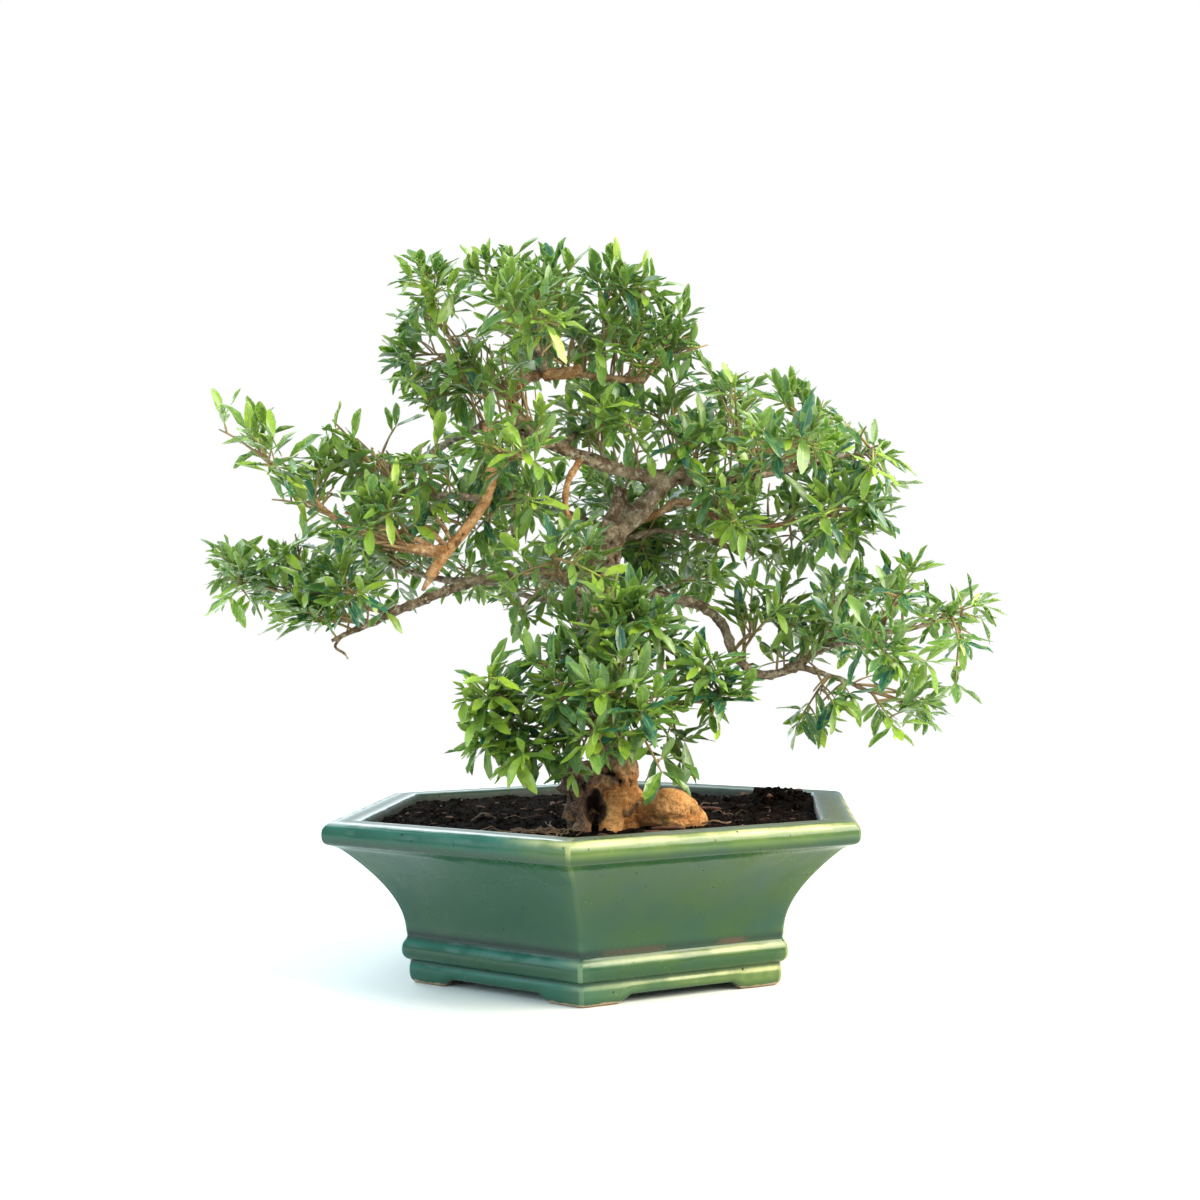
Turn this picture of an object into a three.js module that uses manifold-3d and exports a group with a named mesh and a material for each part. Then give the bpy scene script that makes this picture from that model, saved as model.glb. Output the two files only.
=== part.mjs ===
// A serissa bonsai in a glazed hexagonal pot, in millimetres with +Z up.
// The origin is on the axis of the pot, on the surface that its feet stand on.
// The front of the pot, where one corner points at the viewer, faces -Y.
import * as THREE from "three";
import Module from "manifold-3d";
import { mergeVertices } from "three/addons/utils/BufferGeometryUtils.js";

const wasm = await Module();
wasm.setup();

// Pot, driving dimensions. A radius of the hexagon runs from the axis to a corner.
const LIP_RADIUS = 160;
const POT_HEIGHT = 87;
const POT_TURN = THREE.MathUtils.degToRad(-5.6);
const POT_SIDES = 6;
const RIM_WIDTH = 23;
const NECK_RADIUS = 114.5;
const NECK_HEIGHT = 27;
const FOOT_RADIUS = 111;
const FOOT_RING_WIDTH = 16;
const FOOT_LENGTH = 20;
const FOOT_SWEEP = 7;
const FOOT_LIFT = 4;
const UNDERSIDE = 5;
const FLOOR = 14;
const DRAIN_RADIUS = 9;
const OUTER_STEPS = 4;
const INNER_STEPS = 2;

// Soil
const SOIL_LEVEL = 81.5;
const SOIL_GRID = 14;
const HEAP = { x: 104, y: 40, height: 7, spread: 26 };

// Clearance between pieces that touch in life
const GAP = 0.3;
const ROOT_CLEARANCE = 0.4;

// Leaves and young shoots
const LEAF_LENGTH = 16.5;
const LEAF_WIDTH = 4.9;
const LEAF_THICKNESS = 0.8;
const LEAF_FOLD = 0.5;
const LEAF_ARCH = 0.14;
const LEAF_LIGHT = 0.6;
const INNER_RISE = 0.95;
const OUTER_RISE = 0.35;
const SHOOT_RADIUS = 0.95;
const SHOOT_TIP_RADIUS = 0.6;
const SHOOT_SIDES = 4;
const SIDE_SHOOT_THICKNESS = 0.85;
const SHOOT_RISE = 0.1;
const PAIR_AT = 0.62;

// Woody growth, bottom to top. Each row is x, y, z and radius along the middle of the wood.
const ROOTS = {
  bulb_root: [
    [12, -50, 92, 11], [23, -57, 89, 8], [34, -60, 92, 11.5], [43, -55, 87, 9.4], [51, -44, 80, 6.4],
    [57, -30, 70, 4],
  ],
  dead_root: [
    [4, -52, 104, 8], [-7, -57, 107, 8], [-15, -60, 107, 7.2], [-12, -62, 95, 5], [-9, -62, 70, 4.5],
  ],
  front_leg: [[-5, -60, 98, 7.2], [-8, -70, 93, 5.4], [-9.5, -78, 83, 4.2], [-9.5, -80, 70, 4.2]],
  middle_leg: [[6, -60, 94, 9], [5, -72, 87, 7], [4, -79, 79, 5.5], [4, -80, 70, 5]],
  back_left_root: [[4, -46, 94, 9], [-8, -30, 86, 7], [-18, -16, 80, 5], [-26, -6, 70, 3.5]],
  back_right_root: [[12, -44, 92, 9], [24, -28, 86, 6.5], [34, -14, 80, 5], [40, -4, 70, 3.5]],
};

const HOLLOW = { x: -3.5, y: -73, z: 93, width: 13, depth: 20, height: 16 };

const TRUNK = [
  [8, -48, 70, 17], [9, -50, 86, 15], [9, -50, 102, 11.8], [7.5, -48, 120, 9.4], [0, -33, 147, 9],
  [-4, -17, 176, 8.6], [-5, -9, 199, 8.2], [3, -5, 224, 7.6], [9, 0, 243, 6.8], [13, 5, 265, 4.6],
];

const THICK_LIMBS = {
  right_limb: [[8, 0, 236, 5.6], [18, 0, 246, 5.8], [27, 0, 254, 5.6], [40, 0, 267, 5], [52, 0, 271, 4.6]],
  long_left: [
    [54, 0, 271, 4.6], [24, -5, 271, 4.2], [2, -10, 278, 4], [-22, -15, 287, 3.9], [-39, -15, 296, 3.6],
    [-64, -15, 299, 2.8],
  ],
  apex: [
    [-34, -15, 294, 3.4], [-46, -8, 311, 3.2], [-40, 0, 326, 3], [-20, 0, 331, 2.7], [3, 0, 327, 2.3],
    [28, 0, 325, 1.7],
  ],
  left_mid: [
    [-60, -15, 299, 3], [-58, -30, 284, 3.1], [-58, -40, 260, 3.3], [-70, -45, 240, 3.2], [-82, -48, 225, 3],
    [-89, -50, 214, 2.7],
  ],
};

const THIN_LIMBS = {
  long_right: [
    [48, 0, 270, 4], [80, 0, 269, 2.5], [112, 4, 275, 2.1], [138, 5, 281, 1.6], [150, 5, 282, 1.1],
  ],
  cut_stub: [[-28, -4, 328, 2.6], [-16, -9, 328, 3], [-8, -12, 330, 3.1]],
  apex_left: [[-44, -6, 313, 2.4], [-62, -6, 328, 2], [-76, -4, 344, 1.6], [-86, -2, 356, 1.1]],
  apex_mid: [[-30, 0, 330, 2], [-34, 2, 346, 1.7], [-38, 8, 362, 1.2]],
  apex_right: [[2, 0, 327, 1.9], [4, -2, 343, 1.6], [6, -4, 358, 1.1]],
  apex_front: [[-28, 0, 330, 2], [-30, -26, 336, 1.6], [-34, -46, 344, 1.1]],
  apex_back: [[-34, 0, 328, 2.2], [-34, 30, 338, 1.8], [-30, 58, 348, 1.3], [-26, 80, 352, 1]],
  loop_twig: [
    [-8, -12, 281, 1.9], [-16, -20, 266, 1.7], [-17, -22, 250, 1.7], [-11, -18, 238, 1.6], [-3, -8, 228, 1.6],
  ],
  left_mid_out: [[-80, -48, 228, 2.4], [-105, -50, 231, 2.1], [-134, -50, 243, 1.7], [-172, -50, 274, 1]],
  left_mid_up: [[-59, -40, 256, 2.2], [-76, -40, 258, 1.8], [-96, -36, 258, 1.4], [-114, -28, 262, 1]],
  left_mid_back: [[-62, -15, 299, 2.2], [-84, 4, 292, 1.9], [-106, 28, 284, 1.5], [-122, 50, 282, 1.1]],
  left_low: [
    [-2, -8, 208, 4.6], [-30, -2, 217, 3.3], [-70, -20, 212, 2.7], [-91, -30, 204, 2.5],
    [-110, -35, 196, 2.4], [-128, -39, 188, 1.7], [-143, -41, 181, 1],
  ],
  left_low_out: [[-108, -35, 197, 1.9], [-136, -30, 200, 1.7], [-166, -18, 206, 1.3], [-188, -4, 212, 1]],
  left_low_back: [[-70, -20, 212, 2.1], [-94, 4, 216, 1.8], [-118, 30, 224, 1.4], [-134, 54, 232, 1]],
  right_low: [
    [0, -8, 203, 4.4], [20, 6, 206, 3.4], [38, 10, 203, 3], [58, 10, 198, 2.8], [70, 10, 187, 2.7],
    [77, 10, 170, 2.6], [89, 10, 159, 2.5], [108, 10, 161, 2.3], [125, 10, 172, 2.1], [142, 10, 182, 1.8],
    [168, 8, 182, 1.4], [190, 4, 187, 1],
  ],
  right_low_down: [[112, 10, 163, 1.8], [134, 4, 156, 1.4], [152, 0, 148, 1]],
  right_low_back: [[106, 10, 161, 1.9], [118, 34, 170, 1.6], [130, 60, 184, 1.1]],
  right_low_front: [[125, 10, 172, 1.8], [134, -18, 176, 1.4], [146, -44, 176, 1]],
  right_mid: [
    [6, 0, 240, 2.6], [33, 5, 250, 2], [44, 5, 257, 1.9], [56, 5, 255, 1.8], [70, 5, 246, 1.6],
    [92, 2, 242, 1.4], [118, 0, 246, 1.2], [136, 4, 248, 1],
  ],
  right_mid_low: [
    [6, 0, 232, 2.2], [18, 18, 238, 1.9], [36, 24, 242, 1.6], [58, 30, 238, 1.3], [76, 34, 232, 1],
  ],
  right_up_back: [[78, 0, 269, 2], [84, 30, 280, 1.6], [84, 60, 292, 1.1]],
  right_up_front: [[82, 0, 269, 2], [92, -30, 272, 1.6], [96, -58, 272, 1.1]],
  right_back: [[112, 4, 275, 1.8], [122, 34, 282, 1.4], [130, 60, 284, 1]],
  bar_front: [[-24, -15, 288, 2], [-34, -34, 284, 1.6], [-46, -48, 276, 1.1]],
  left_inner: [[-40, -15, 296, 2.2], [-44, -8, 278, 1.8], [-48, -6, 260, 1.4], [-44, -4, 246, 1]],
  mid_front: [[-4, -10, 204, 2.6], [-14, -30, 208, 2], [-22, -46, 214, 1.4]],
  front_mid: [[0, -36, 144, 3], [2, -58, 150, 2.4], [6, -80, 152, 1.9], [10, -98, 150, 1.2]],
  front_left: [[-1, -40, 136, 2.6], [-20, -60, 138, 2], [-38, -72, 140, 1.5], [-50, -80, 142, 1.1]],
  front_right: [[3, -38, 142, 2.4], [22, -54, 144, 1.9], [40, -64, 146, 1.4], [54, -70, 148, 1]],
  front_high: [[-3, -24, 160, 2.4], [8, -44, 168, 1.9], [16, -62, 174, 1.2]],
  back_low: [
    [-4, -12, 184, 3.4], [-8, 20, 194, 2.8], [-14, 50, 202, 2.3], [-20, 80, 210, 1.7], [-24, 104, 216, 1.1],
  ],
  back_low_left: [[-10, 34, 198, 2], [-42, 60, 206, 1.7], [-72, 80, 216, 1.1]],
  back_low_right: [[-11, 38, 199, 2], [22, 62, 206, 1.7], [52, 82, 214, 1.1]],
  back_mid: [
    [3, -4, 228, 3.2], [6, 26, 242, 2.6], [10, 56, 254, 2.1], [14, 84, 264, 1.6], [16, 106, 270, 1.1],
  ],
  back_mid_left: [[7, 32, 244, 2], [-26, 60, 258, 1.7], [-54, 84, 268, 1.1]],
  back_mid_right: [[7, 30, 244, 2], [40, 58, 256, 1.7], [70, 82, 266, 1.1]],
  back_top: [[-20, -14, 286, 2.6], [-12, 22, 298, 2.1], [-2, 54, 308, 1.6], [6, 80, 314, 1.1]],
};

// Leafy sprays: name, the limb that bears it, how far along that limb, and the tips of its shoots.
// The first tip is the main shoot's, and the others branch from it.
const SPRAYS = [
  ["crown_1", "apex_left", 1, [-96, -15, 384], [-105, 6, 362], [-84, -44, 368]],
  ["crown_2", "apex_left", 0.55, [-110, 14, 342], [-102, -26, 322]],
  ["crown_3", "apex_mid", 1, [-46, -5, 393], [-68, 8, 386], [-30, 34, 394]],
  ["crown_4", "apex_mid", 0.5, [-14, -30, 380], [-40, -44, 370]],
  ["crown_5", "apex_right", 1, [10, 2, 391], [30, -22, 372]],
  ["crown_6", "apex", 1, [50, 20, 364], [58, 2, 344]],
  ["crown_7", "apex_front", 1, [-50, -78, 352], [-20, -76, 344]],
  ["crown_8", "apex_back", 0.55, [-60, 66, 368], [-14, 62, 384]],
  ["crown_9", "apex_back", 1, [-6, 108, 350], [-46, 102, 352]],
  ["shelf_1", "long_left", 0.38, [-6, 28, 314], [4, -28, 306]],
  ["shelf_2", "right_limb", 0.9, [40, -8, 328], [24, 22, 318]],
  ["shelf_3", "long_right", 0.3, [66, 12, 330], [76, -26, 316]],
  ["shelf_4", "long_right", 0.6, [104, -4, 316], [122, 12, 312]],
  ["shelf_5", "long_right", 1, [158, -6, 286], [166, 10, 266], [132, -36, 295], [148, -42, 270]],
  ["shelf_6", "right_back", 1, [146, 74, 284], [128, 92, 294]],
  ["shelf_7", "right_up_back", 1, [92, 94, 318], [62, 92, 310], [70, 50, 324]],
  ["shelf_8", "right_up_front", 1, [84, -90, 284], [114, -80, 278]],
  ["middle_1", "right_mid", 0.55, [62, -38, 260], [78, -36, 238]],
  ["middle_2", "right_mid", 1, [160, 8, 248], [146, -28, 254], [120, -50, 244], [118, 36, 252]],
  ["middle_3", "right_mid_low", 1, [92, 64, 236], [104, 46, 222], [52, 62, 238]],
  ["low_right_1", "right_low", 0.47, [96, -30, 194], [84, -22, 206]],
  ["low_right_2", "right_low", 0.75, [148, 2, 208], [136, 42, 206]],
  ["low_right_3", "right_low", 1, [214, 2, 198], [196, -26, 176], [188, 32, 190], [202, 12, 152]],
  ["low_right_4", "right_low", 0.88, [174, -12, 214], [162, -46, 202]],
  ["low_right_5", "right_low_front", 1, [146, -78, 170], [170, -62, 166]],
  ["low_right_6", "right_low_down", 1, [162, -10, 130], [182, 4, 142]],
  ["low_right_7", "right_low_down", 0.4, [112, 4, 132], [128, -22, 142]],
  ["low_right_8", "right_low_back", 1, [136, 90, 192], [154, 72, 176]],
  ["mid_left_1", "left_mid_out", 1, [-180, -50, 286], [-168, -76, 268]],
  ["mid_left_2", "left_mid_out", 0.7, [-176, -32, 258], [-146, -26, 274]],
  ["mid_left_3", "left_mid_up", 1, [-130, -40, 288], [-118, -6, 284]],
  ["mid_left_4", "left_mid_up", 0.5, [-96, -62, 274], [-84, -52, 286]],
  ["mid_left_5", "left_mid_out", 0.3, [-114, -80, 252], [-126, -74, 234]],
  ["mid_left_6", "left_mid_back", 1, [-140, 70, 292], [-112, 82, 288], [-116, 24, 304]],
  ["low_left_1", "left_low_out", 1, [-211, 10, 221], [-198, -36, 205]],
  ["low_left_2", "left_low_out", 0.7, [-180, 24, 222], [-168, -38, 228]],
  ["low_left_3", "left_low_out", 0.3, [-150, -68, 208], [-122, -80, 204]],
  ["low_left_4", "left_low", 0.8, [-166, -50, 191], [-152, -66, 196]],
  ["low_left_5", "left_low_back", 1, [-158, 66, 240], [-132, 86, 236]],
  ["low_left_6", "left_low_back", 0.5, [-138, 20, 236], [-104, 48, 226]],
  ["inner_1", "bar_front", 1, [-60, -74, 282], [-32, -72, 272]],
  ["inner_2", "left_inner", 0.6, [-34, -38, 254], [-66, -30, 240]],
  ["inner_3", "mid_front", 1, [-24, -70, 230], [-46, -60, 212], [2, -60, 212]],
  ["inner_4", "left_inner", 1, [-56, 28, 238], [-36, 36, 256]],
  ["front_1", "front_left", 1, [-66, -88, 154], [-54, -106, 162]],
  ["front_2", "front_left", 0.6, [-62, -92, 126], [-38, -108, 124]],
  ["front_3", "front_mid", 0.55, [-32, -96, 168], [-20, -118, 150]],
  ["front_4", "front_mid", 1, [2, -128, 154], [-6, -126, 130], [22, -120, 140]],
  ["front_5", "front_high", 1, [24, -86, 192], [2, -94, 182]],
  ["front_6", "front_right", 1, [68, -82, 158], [60, -92, 134], [50, -98, 166]],
  ["back_1", "back_low", 1, [-36, 132, 222], [-8, 130, 208]],
  ["back_2", "back_low_left", 1, [-90, 98, 226], [-66, 112, 212]],
  ["back_3", "back_low_right", 1, [70, 102, 218], [46, 112, 204]],
  ["back_4", "back_mid", 1, [20, 134, 280], [-6, 130, 266]],
  ["back_5", "back_mid_left", 1, [-74, 104, 280], [-50, 114, 262]],
  ["back_6", "back_mid_right", 1, [90, 102, 274], [66, 114, 256]],
  ["back_7", "back_top", 1, [10, 110, 324], [34, 98, 310], [-28, 96, 316]],
];

const UP = new THREE.Vector3(0, 0, 1);

const glaze = new THREE.MeshStandardMaterial({ color: 0x2f6b4f, roughness: 0.22, metalness: 0 });
const soil = new THREE.MeshStandardMaterial({ color: 0x2b1c16, roughness: 0.95, metalness: 0 });
const bark = new THREE.MeshStandardMaterial({ color: 0x8f6b48, roughness: 0.85, metalness: 0 });
const foliage = new THREE.MeshStandardMaterial({ color: 0x3f7a32, roughness: 0.5, metalness: 0 });

// A closed triangle mesh as a solid that can be joined and cut
function solidOf(geometry) {
  const bare = geometry.clone();
  bare.deleteAttribute("normal");
  bare.deleteAttribute("uv");
  const merged = mergeVertices(bare, 1e-3);
  const corners = [];
  for (let i = 0; i < merged.index.count; i += 3) {
    const [a, b, c] = merged.index.array.slice(i, i + 3);
    if (a !== b && b !== c && c !== a) corners.push(a, b, c);
  }
  const mesh = new wasm.Mesh({
    numProp: 3,
    vertProperties: Float32Array.from(merged.attributes.position.array),
    triVerts: Uint32Array.from(corners),
  });
  return new wasm.Manifold(mesh);
}

function solidFrom({ points, corners }) {
  const geometry = new THREE.BufferGeometry();
  const numbers = points.flatMap((point) => point.toArray());
  geometry.setAttribute("position", new THREE.Float32BufferAttribute(numbers, 3));
  geometry.setIndex(corners);
  return solidOf(geometry);
}

function meshOf(solid, name, material) {
  const made = solid.getMesh();
  const geometry = new THREE.BufferGeometry();
  geometry.setAttribute("position", new THREE.Float32BufferAttribute(made.vertProperties, 3));
  geometry.setIndex(Array.from(made.triVerts));
  geometry.computeVertexNormals();
  const mesh = new THREE.Mesh(geometry, material);
  mesh.name = name;
  return mesh;
}

// A steady spread of values from -1 to 1, the same for the same numbers
function vary(i, k) {
  const wave = Math.sin(i * 12.9898 + k * 78.233) * 43758.5453;
  return 2 * (wave - Math.floor(wave)) - 1;
}

// Pot
function turnedHexagon(profile) {
  const body = new THREE.LatheGeometry(profile, POT_SIDES);
  body.rotateX(Math.PI / 2);
  body.rotateZ(POT_TURN);
  return solidOf(body);
}

// The inside of the pot from the floor up to the rim, drawn in by a clearance
function innerWall(path, inset) {
  const wall = LIP_RADIUS - RIM_WIDTH;
  path.lineTo(100 - inset, FLOOR + inset);
  path.quadraticCurveTo(104 - inset, FLOOR + inset, 105 - inset, 20);
  path.quadraticCurveTo(107 - inset, 46, 126 - inset, 63);
  path.quadraticCurveTo(wall - 1 - inset, 71, wall - inset, 78);
}

function buildPot() {
  const outer = new THREE.Path();
  outer.moveTo(0, UNDERSIDE);
  outer.lineTo(FOOT_RADIUS - FOOT_RING_WIDTH, UNDERSIDE);
  outer.lineTo(FOOT_RADIUS - FOOT_RING_WIDTH, 0);
  outer.lineTo(FOOT_RADIUS - 1, 0);
  outer.quadraticCurveTo(FOOT_RADIUS + 1.5, 0.5, FOOT_RADIUS + 2, 5);
  outer.lineTo(FOOT_RADIUS + 2, 9.5);
  outer.lineTo(FOOT_RADIUS + 0.5, 12);
  outer.quadraticCurveTo(NECK_RADIUS + 2.7, 12.5, NECK_RADIUS + 2.7, 17.5);
  outer.quadraticCurveTo(NECK_RADIUS + 2.7, 22.5, NECK_RADIUS - 1, 24);
  outer.lineTo(NECK_RADIUS, NECK_HEIGHT);
  outer.quadraticCurveTo(NECK_RADIUS + 0.3, NECK_HEIGHT + 20, LIP_RADIUS - 10.5, POT_HEIGHT - 14.4);
  outer.quadraticCurveTo(LIP_RADIUS - 6, POT_HEIGHT - 12.2, LIP_RADIUS - 2.6, POT_HEIGHT - 11.6);
  outer.quadraticCurveTo(LIP_RADIUS, POT_HEIGHT - 11, LIP_RADIUS, POT_HEIGHT - 6.5);
  outer.quadraticCurveTo(LIP_RADIUS, POT_HEIGHT, LIP_RADIUS - 6.5, POT_HEIGHT);
  outer.lineTo(LIP_RADIUS - RIM_WIDTH + 2, POT_HEIGHT);
  outer.lineTo(LIP_RADIUS - RIM_WIDTH, POT_HEIGHT - 2);
  const inner = new THREE.Path();
  inner.moveTo(0, FLOOR);
  innerWall(inner, 0);
  const profile = [...outer.getPoints(OUTER_STEPS), ...inner.getPoints(INNER_STEPS).reverse()];
  const drain = new THREE.CylinderGeometry(DRAIN_RADIUS, DRAIN_RADIUS, 2 * FLOOR, 20);
  drain.rotateX(Math.PI / 2);
  const cuts = [solidOf(drain)];
  for (let side = 0; side < POT_SIDES / 2; side += 1) cuts.push(footOpening(side));
  return turnedHexagon(profile).subtract(wasm.Manifold.union(cuts));
}

// The low arch between two feet, run through to the arch on the opposite side
function footOpening(side) {
  const half = FOOT_RADIUS / 2 - FOOT_LENGTH;
  const arch = new THREE.Shape();
  arch.moveTo(-half, -1);
  arch.lineTo(half, -1);
  arch.lineTo(half, 0);
  arch.quadraticCurveTo(half - 0.35 * FOOT_SWEEP, FOOT_LIFT, half - FOOT_SWEEP, FOOT_LIFT);
  arch.lineTo(FOOT_SWEEP - half, FOOT_LIFT);
  arch.quadraticCurveTo(0.35 * FOOT_SWEEP - half, FOOT_LIFT, -half, 0);
  arch.closePath();
  const length = 2.4 * FOOT_RADIUS;
  const bar = new THREE.ExtrudeGeometry(arch, { depth: length, bevelEnabled: false, curveSegments: 2 });
  bar.translate(0, 0, -length / 2);
  bar.rotateX(Math.PI / 2);
  bar.rotateZ(POT_TURN + ((side + 0.5) * 2 * Math.PI) / POT_SIDES);
  return solidOf(bar);
}

// Height of the soil: low clods all over, and a heap at the right towards the back
function soilHeight(x, y) {
  const heap = Math.exp(-((x - HEAP.x) ** 2 + (y - HEAP.y) ** 2) / HEAP.spread ** 2);
  const clods = Math.sin(x * 0.21 + 1.3 * Math.sin(y * 0.13)) * Math.cos(y * 0.24 + Math.sin(x * 0.17));
  return SOIL_LEVEL + HEAP.height * heap + (1.2 + heap) * clods;
}

function buildSoil(rootHoles) {
  const filling = new THREE.Path();
  const inset = GAP / Math.cos(Math.PI / POT_SIDES);
  filling.moveTo(0, FLOOR + inset);
  innerWall(filling, inset);
  filling.lineTo(LIP_RADIUS - RIM_WIDTH - inset, POT_HEIGHT + 10);
  filling.lineTo(0, POT_HEIGHT + 10);
  const width = 2 * LIP_RADIUS;
  const ground = new THREE.BoxGeometry(width, width, SOIL_LEVEL, SOIL_GRID, SOIL_GRID, 1);
  ground.translate(0, 0, SOIL_LEVEL / 2);
  const spot = ground.attributes.position;
  for (let i = 0; i < spot.count; i += 1) {
    if (spot.getZ(i) > SOIL_LEVEL / 2) spot.setZ(i, soilHeight(spot.getX(i), spot.getY(i)));
  }
  return turnedHexagon(filling.getPoints(INNER_STEPS)).intersect(solidOf(ground)).subtract(rootHoles);
}

// A tube of changing radius along a curve, with one ring of points at each stop from 0 to 1.
// The faces that isOpen names by ring and side are left out.
function tube(curve, radiusAt, stops, sides, { flute = 0, turn = 0, isOpen = () => false } = {}) {
  const points = [];
  const corners = [];
  const frames = [];
  const across = new THREE.Vector3(1, 0.2, 0.1);
  across.projectOnPlane(curve.getTangent(0)).applyAxisAngle(curve.getTangent(0), turn);
  for (const t of stops) {
    const along = curve.getTangent(t);
    across.projectOnPlane(along).normalize();
    const beside = new THREE.Vector3().crossVectors(along, across);
    frames.push({ along, across: across.clone(), beside });
    for (let j = 0; j < sides; j += 1) {
      const angle = (j / sides) * 2 * Math.PI;
      const ridges = Math.sin(3 * angle + 5 * t) - 0.5 * Math.cos(5 * angle - 3 * t);
      const reach = radiusAt(t) * (1 + flute * ridges);
      const point = curve.getPoint(t).addScaledVector(across, reach * Math.cos(angle));
      points.push(point.addScaledVector(beside, reach * Math.sin(angle)));
    }
  }
  const last = stops.length - 1;
  for (let i = 0; i < last; i += 1) {
    for (let j = 0; j < sides; j += 1) {
      const a = i * sides + j;
      const b = i * sides + ((j + 1) % sides);
      if (!isOpen(i, j)) corners.push(a, b, b + sides, a, b + sides, a + sides);
    }
  }
  const end = last * sides;
  for (let j = 1; j < sides - 1; j += 1) {
    corners.push(0, j + 1, j, end, end + j, end + j + 1);
  }
  return { points, corners, frames };
}

// A woody limb through its rows of x, y, z and radius
class Limb {
  constructor(rows) {
    this.rows = rows;
    this.curve = new THREE.CatmullRomCurve3(rows.map(([x, y, z]) => new THREE.Vector3(x, y, z)));
  }

  radius(t) {
    const at = t * (this.rows.length - 1);
    const row = Math.min(Math.floor(at), this.rows.length - 2);
    return THREE.MathUtils.lerp(this.rows[row][3], this.rows[row + 1][3], at - row);
  }

  solid({ perRow, sides, flute }, swell = 0) {
    const steps = perRow * (this.rows.length - 1);
    const stops = Array.from({ length: steps + 1 }, (_, i) => i / steps);
    return solidFrom(tube(this.curve, (t) => this.radius(t) + swell, stops, sides, { flute }));
  }
}

const TRUNK_CUT = { perRow: 2, sides: 9, flute: 0.06 };
const ROOT_CUT = { perRow: 1, sides: 7, flute: 0.06 };
const THICK_CUT = { perRow: 1, sides: 6, flute: 0.03 };
const THIN_CUT = { perRow: 1, sides: 4, flute: 0 };

function limbsFrom(table) {
  return Object.fromEntries(Object.entries(table).map(([name, rows]) => [name, new Limb(rows)]));
}

const trunk = new Limb(TRUNK);
const roots = limbsFrom(ROOTS);
const thickLimbs = limbsFrom(THICK_LIMBS);
const thinLimbs = limbsFrom(THIN_LIMBS);

// The trunk and its roots, swollen by a clearance where they make their holes in the soil
function trunkAndRoots(swell) {
  const rootSolids = Object.values(roots).map((root) => root.solid(ROOT_CUT, swell));
  return wasm.Manifold.union([trunk.solid(TRUNK_CUT, swell), ...rootSolids]);
}

function buildWood() {
  const thick = Object.values(thickLimbs).map((limb) => limb.solid(THICK_CUT));
  const thin = Object.values(thinLimbs).map((limb) => limb.solid(THIN_CUT));
  const hollow = new THREE.SphereGeometry(0.5, 10, 6);
  hollow.scale(HOLLOW.width, HOLLOW.depth, HOLLOW.height);
  hollow.translate(HOLLOW.x, HOLLOW.y, HOLLOW.z);
  return wasm.Manifold.union([trunkAndRoots(0), ...thick, ...thin]).subtract(solidOf(hollow));
}

// Every solid that is already in place, with the spray that it belongs to
const placed = [];

function place(solid, spray) {
  placed.push({ solid, spray, box: solid.boundingBox() });
}

function boxesMeet(a, b) {
  return [0, 1, 2].every((k) => a.min[k] < b.max[k] + GAP && b.min[k] < a.max[k] + GAP);
}

function isClear(solid, isOwn) {
  const box = solid.boundingBox();
  const near = placed.filter((other) => !isOwn(other) && boxesMeet(box, other.box));
  return near.every((other) => solid.minGap(other.solid, GAP) >= GAP);
}

function firstClear(choices, solidOfChoice, isOwn) {
  for (const choice of choices) {
    if (isClear(solidOfChoice(choice), isOwn)) return choice;
  }
  return null;
}

// The stem of one shoot, from its start to its tip, bowed upwards and to one side
class Stem {
  constructor(start, tip, bow, thickness, turn) {
    const span = tip.clone().sub(start);
    const sideways = new THREE.Vector3().crossVectors(span, UP).normalize();
    const middle = start.clone().addScaledVector(span, 0.5).addScaledVector(UP, SHOOT_RISE * span.length());
    middle.addScaledVector(sideways, bow * span.length());
    this.curve = new THREE.QuadraticBezierCurve3(start, middle, tip);
    this.length = this.curve.getLength();
    this.thickness = thickness;
    this.turn = turn;
    this.solid = solidFrom(this.rings([0, 0.5, 1]));
  }

  rings(stops, isOpen) {
    const radiusAt = (t) => THREE.MathUtils.lerp(SHOOT_RADIUS * this.thickness, SHOOT_TIP_RADIUS, t);
    return tube(this.curve, radiusAt, stops, SHOOT_SIDES, { turn: this.turn, isOpen });
  }
}

// Corners of a leaf: 0 to 3 its root, 4 to 8 the outline of its blade, 9 and 10 the middle above and below
const LEAF_FACES = [
  9, 4, 5, 9, 5, 6, 9, 6, 7, 9, 7, 8, 9, 8, 1, 9, 1, 0, 9, 0, 4,
  10, 5, 4, 10, 6, 5, 10, 7, 6, 10, 8, 7, 10, 2, 8, 10, 3, 2, 10, 4, 3,
  0, 3, 4, 1, 8, 2,
];
const LEAF_ROOT_FACES = [0, 1, 2, 0, 2, 3];

// A narrow pointed leaf with a lens section, folded along its midrib and arched towards its tip.
// Its root is a face of the stem, with the upper right corner first and the lower right one last.
class Leaf {
  constructor(root, direction, face, length) {
    const sum = root.reduce((total, corner) => total.add(corner), new THREE.Vector3());
    const middle = sum.divideScalar(root.length);
    const side = new THREE.Vector3().crossVectors(direction, face);
    const at = (s, across, lift) => {
      const point = middle.clone().addScaledVector(direction, s * length);
      point.addScaledVector(face, lift - LEAF_ARCH * length * s * s);
      return point.addScaledVector(side, (0.5 * across * length * LEAF_WIDTH) / LEAF_LENGTH);
    };
    const half = LEAF_THICKNESS / 2;
    this.root = root;
    this.blade = [
      at(0.3, 1, 0), at(0.66, 0.9, 0), at(1, 0, 0), at(0.66, -0.9, 0), at(0.3, -1, 0),
      at(0.45, 0, half - LEAF_FOLD), at(0.45, 0, -half - LEAF_FOLD),
    ];
  }

  get solid() {
    return solidFrom({ points: [...this.root, ...this.blade], corners: [...LEAF_FACES, ...LEAF_ROOT_FACES] });
  }
}

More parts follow.
